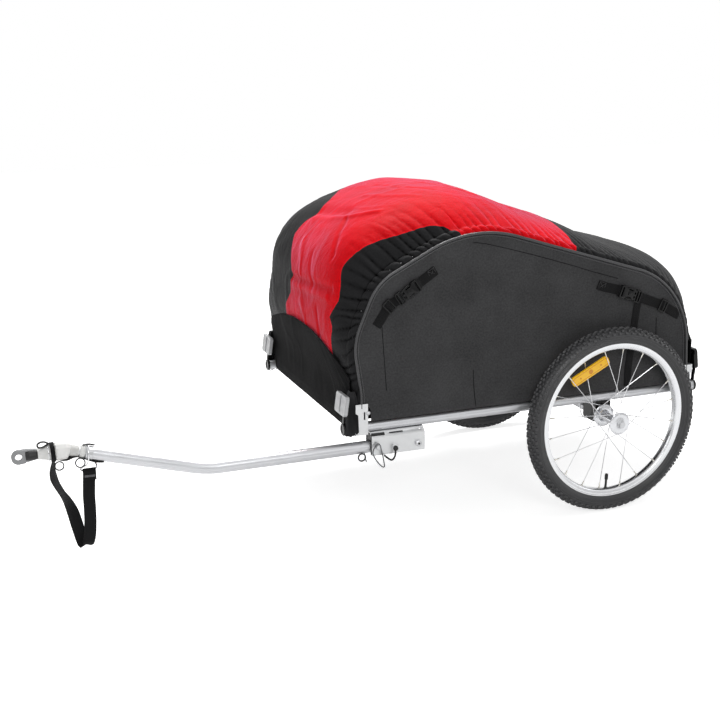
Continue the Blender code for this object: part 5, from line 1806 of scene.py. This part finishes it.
def make_spokes(side, word):
    """A turned hub, its nut, and the laced spokes with their nipples."""
    y = side * WHEEL_Y
    body = "wheel_" + word
    half = [
        (6.15, 41.0), (9.6, 41.0), (10.4, 40.2), (12.0, 39.9), (13.0, FLANGE_Y + 1.2),
        (FLANGE_R - 9, FLANGE_Y + 1.5), (FLANGE_R - 1.2, FLANGE_Y + 1.6), (FLANGE_R, FLANGE_Y + 0.7),
        (FLANGE_R, FLANGE_Y - 0.7), (FLANGE_R - 1.2, FLANGE_Y - 1.6), (17.0, FLANGE_Y - 2.0),
        (14.0, FLANGE_Y - 6.0), (12.2, FLANGE_Y - 14.0), (11.6, 8.0), (11.4, 0.0),
    ]
    profile = half + [(r, -h) for r, h in reversed(half[:-1])]
    hub = lathe("hub_" + word, profile, (0, y, AXLE_Z), Y_AXIS * side, 64, closed=True)
    dress(hub, "hub", body, stands_for="spider_" + word)
    nut = lathe("hub_nut_" + word, [(6.2, 0), (9.6, 0), (10.2, 0.8), (10.2, 6.4), (9.4, 7.2), (6.2, 7.2)],
                (0, y + side * 41.2, AXLE_Z), Y_AXIS * side, 6, closed=True)
    dress(nut, "bolt", body)
    wires, nipples = [], []
    tip = RIM_R - RIM_DEPTH
    for k in range(SPOKES):
        flange = -1 if k % 2 else 1
        group_sign = 1 if (k // 2) % 2 else -1
        end = math.radians(SPOKE_FIRST_DEG + 360.0 * k / SPOKES)
        start = end + math.radians(SPOKE_LACING_DEG) * group_sign
        at_y = y + flange * (FLANGE_Y + 1.6 * group_sign)
        foot = Vector(((FLANGE_R - 4) * math.cos(start), at_y, AXLE_Z + (FLANGE_R - 4) * math.sin(start)))
        head = Vector((tip * math.cos(end), y + flange * 3.0, AXLE_Z + tip * math.sin(end)))
        elbow = foot + Vector((0, -flange * 3.4 * group_sign, 0))
        line = (head - foot).normalized()
        wires.append(rope("wire", [elbow, foot - Vector((0, 0.9 * flange * group_sign, 0)),
                                   foot + line * 1.3, head - line * 8], 1.0, 8))
        wires.append(lathe("rivet", [(0, 0.9), (1.5, 0.7), (2.0, 0), (2.0, -0.5), (0, -0.5)],
                           elbow, Vector((0, -flange * group_sign, 0)), 10))
        nipples.append(lathe("nipple", NIPPLE, head, line, 10))
    dress(merge("spokes_" + word, wires), "spoke", body)
    dress(merge("nipples_" + word, nipples), "nipple", body)


# Tubes


class TRAILER_OT_tubes(bpy.types.Operator):
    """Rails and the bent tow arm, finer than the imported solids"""
    bl_idname = "trailer.tubes"
    bl_label = "Tubes"

    def execute(self, context):
        for side, word in SIDES:
            long = RAIL_REAR - RAIL_FRONT
            profile = [(TUBE_R - 1.6, 0), (TUBE_R - 0.4, 0), (TUBE_R, 0.5), (TUBE_R, long - 0.5),
                       (TUBE_R - 0.4, long), (TUBE_R - 1.6, long)]
            rail = lathe("rail_tube_" + word, profile, (RAIL_FRONT, side * RAIL_Y, RAIL_Z), X_AXIS, 64,
                         closed=True)
            dress(rail, "tube", "frame", stands_for="rail_" + word)
        tip = arm_front_point(ARM_FRONT_RUN)
        path = bent_path([(ARM_REAR, ARM_Z), (ARM_BEND_X, ARM_Z), (tip.x, tip.z)], [ARM_BEND_R], 1.0)
        arm = rope("tow_arm_tube", [(p.x, ARM_Y, p.y) for p in path], ARM_R, 64)
        arm.data.set_sharp_from_angle(angle=math.radians(40))
        dress(arm, "tube", "arm", stands_for="tow_arm")
        return {"FINISHED"}


def arm_direction():
    """The direction of the arm's front run, along and up."""
    a = math.radians(ARM_RISE_DEG)
    return Vector((-math.cos(a), math.sin(a)))


def arm_front_point(run):
    """A point on the arm's axis, a run beyond the corner of its bend."""
    at = Vector((ARM_BEND_X, ARM_Z)) + arm_direction() * run
    return Vector((at.x, ARM_Y, at.y))


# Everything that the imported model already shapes


class TRAILER_OT_finishes(bpy.types.Operator):
    """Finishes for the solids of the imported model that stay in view"""
    bl_idname = "trailer.finishes"
    bl_label = "Finishes"

    def execute(self, context):
        plan = {
            "hoop_": "tube", "rail_": "tube", "cross_tube_": "cross", "axle_tube": "cross",
            "tow_arm": "tube", "floor_panel": "front", "front_panel": "front", "rear_panel": "front",
            "side_panel_": "side", "cover_red": "red_nylon", "cover_": "black_nylon",
            "receiver_": "plastic", "end_cap_": "plastic", "hoop_bracket_": "bracket",
            "hitch_bracket": "bracket", "arm_stop_block": "rubber", "arm_pivot_bolt": "bolt",
            "arm_end_plug": "bolt", "coupler_block": "cast", "coupler_bell": "cast", "flex_core": "rubber",
            "hitch_lug": "lug", "strap_ring": "chrome", "safety_strap": "webbing", "lock_pin": "bolt",
            "pin_bail": "chrome", "buckle_": "plastic", "reflector_front_": "clear",
            "reflector_rear_": "red_lens", "spoke_reflector_": "amber", "valve_": "rubber", "axle_": "bolt",
            "tyre_": "tyre", "rim_": "rim", "spider_": "hub",
        }
        for name, obj in frame["nodes"].items():
            keys = [key for key in plan if name.startswith(key)]
            if not keys:
                raise RuntimeError("no finish for " + name)
            finish = finish_of(plan[max(keys, key=len)])
            for slot in obj.material_slots:
                slot.material = finish
        return {"FINISHED"}


# Stage


class TRAILER_OT_stage(bpy.types.Operator):
    """Pale studio floor, soft light from above and the reference view's camera"""
    bl_idname = "trailer.stage"
    bl_label = "Stage"

    def execute(self, context):
        scene = context.scene
        make_camera(scene)
        make_floor()
        make_lights(scene)
        scene.view_settings.view_transform = "Standard"
        return {"FINISHED"}


def make_camera(scene):
    """The camera of the reference view."""
    az, el, roll = (math.radians(v) for v in (CAM_AZIMUTH, CAM_ELEVATION, CAM_ROLL))
    back = Vector((math.sin(az) * math.cos(el), -math.cos(az) * math.cos(el), math.sin(el)))
    right = Vector((math.cos(az), math.sin(az), 0))
    up = back.cross(right)
    across = right * math.cos(roll) + up * math.sin(roll)
    upward = -right * math.sin(roll) + up * math.cos(roll)
    data = bpy.data.cameras.new("reference_view")
    data.lens = CAM_FOCAL_PX / PHOTO_PX * data.sensor_width
    data.clip_end = 100
    cam = new_object("reference_view", data)
    turn = Matrix((across, upward, back)).transposed().to_4x4()
    cam.matrix_world = Matrix.Translation(place(*CAM_PLACE)) @ turn
    scene.camera = cam


def make_floor():
    """Seamless paper: it looks white to the camera and in reflections, and keeps the object's shadow."""
    mat, shader = start_material("matt_studio_paper", Roughness=0.9)
    grain = add_node(mat, "ShaderNodeTexNoise", {"Scale": 40.0, "Detail": 3.0}).outputs["Fac"]
    path = add_node(mat, "ShaderNodeLightPath")
    seen = calculate(mat, "MAXIMUM", path.outputs["Is Camera Ray"], path.outputs["Is Transmission Ray"])
    dim = calculate(mat, "MULTIPLY", path.outputs["Is Glossy Ray"], 0.45)
    seen = calculate(mat, "MAXIMUM", seen, dim)
    shader.inputs["Emission Color"].default_value = (1, 1, 1, 1)
    link_sockets(
        mat, shader, Emission_Strength=span(mat, seen, 0.0, 0.72),
        Base_Color=blend_colours(mat, grain, shade(colours().floor, 0.985), linear(colours().floor))
    )
    mesh = bpy.data.meshes.new("studio_floor")
    mesh.from_pydata([(-9, -9, 0), (9, -9, 0), (9, 9, 0), (-9, 9, 0)], [], [(0, 1, 2, 3)])
    mesh.materials.append(mat)
    new_object("studio_floor", mesh)


def area_light(name, at, look, size, watts):
    """A softbox at a place, turned to another place; sizes in metres."""
    data = bpy.data.lights.new(name, "AREA")
    data.shape = "RECTANGLE"
    data.size, data.size_y = size
    data.energy = watts
    lamp = new_object(name, data)
    lamp.location = at
    lamp.rotation_euler = (Vector(look) - Vector(at)).to_track_quat("-Z", "Y").to_euler()


# Softboxes: place, the place that each looks at, size and power
LAMPS = {
    "overhead_softbox": ((0.5, 1.1, 3.0), (0.2, 0, 0.5), (1.7, 1.3), 84),
    "near_softbox": ((-0.4, -3.4, 2.2), (0.1, 0, 0.35), (1.6, 1.0), 24),
    "front_softbox": ((-3.2, -1.2, 1.9), (-0.3, 0, 0.4), (1.4, 1.4), 11),
    "right_softbox": ((3.4, -0.8, 1.2), (0.3, 0, 0.35), (1.2, 1.6), 8),
}


def mix(owner, factor, low, high):
    """One value or the other, by a factor."""
    inputs = {"Factor": factor, "A": low, "B": high}
    return add_node(owner, "ShaderNodeMix", inputs, data_type="FLOAT").outputs["Result"]


def make_lights(scene):
    """Softboxes, and a room that metal mirrors: bright above and dim low down, so that edges stay clear."""
    for name, settings in LAMPS.items():
        area_light(name, *settings)
    world = bpy.data.worlds.new("studio_white")
    world.use_nodes = True
    back = world.node_tree.nodes["Background"]
    path = add_node(world, "ShaderNodeLightPath")
    height = add_node(world, "ShaderNodeSeparateXYZ", {"Vector": coordinates(world, "Generated")})
    room = span(world, height.outputs["Z"], 0.55, 0.95, -0.05, 0.5)
    glossy = mix(world, path.outputs["Is Glossy Ray"], 0.33, room)
    back.inputs["Color"].default_value = (1, 1, 1, 1)
    link_sockets(world, back, Strength=mix(world, path.outputs["Is Camera Ray"], glossy, 1.0))
    scene.world = world


class TRAILER_PT_panel(bpy.types.Panel):
    """The trailer's pieces and settings, in the 3D view's sidebar"""
    bl_idname = "TRAILER_PT_panel"
    bl_label = "Cargo trailer"
    bl_space_type = "VIEW_3D"
    bl_region_type = "UI"
    bl_category = "Trailer"

    def draw(self, context):
        column = self.layout.column(align=True)
        for step in STEPS:
            column.operator(step.bl_idname)
        for group_of in (context.scene.cargo_trailer_sizes, context.scene.cargo_trailer_colours):
            box = self.layout.box().column(align=True)
            for name in group_of.__annotations__:
                box.prop(group_of, name)


STEPS = (
    TRAILER_OT_stage, TRAILER_OT_finishes, TRAILER_OT_tubes, TRAILER_OT_cover, TRAILER_OT_sides,
    TRAILER_OT_ends, TRAILER_OT_wheels, TRAILER_OT_fittings, TRAILER_OT_straps, TRAILER_OT_coupler,
    TRAILER_OT_floor,
)
CLASSES = (CargoTrailerColours, CargoTrailerSizes, *STEPS, TRAILER_PT_panel)


def register():
    for cls in CLASSES:
        bpy.utils.register_class(cls)
    bpy.types.Scene.cargo_trailer_colours = PointerProperty(type=CargoTrailerColours)
    bpy.types.Scene.cargo_trailer_sizes = PointerProperty(type=CargoTrailerSizes)


def unregister():
    del bpy.types.Scene.cargo_trailer_sizes
    del bpy.types.Scene.cargo_trailer_colours
    for cls in reversed(CLASSES):
        bpy.utils.unregister_class(cls)


def main():
    register()
    for step in STEPS:
        area, name = step.bl_idname.split(".")
        getattr(getattr(bpy.ops, area), name)()


if __name__ == "__main__":
    main()
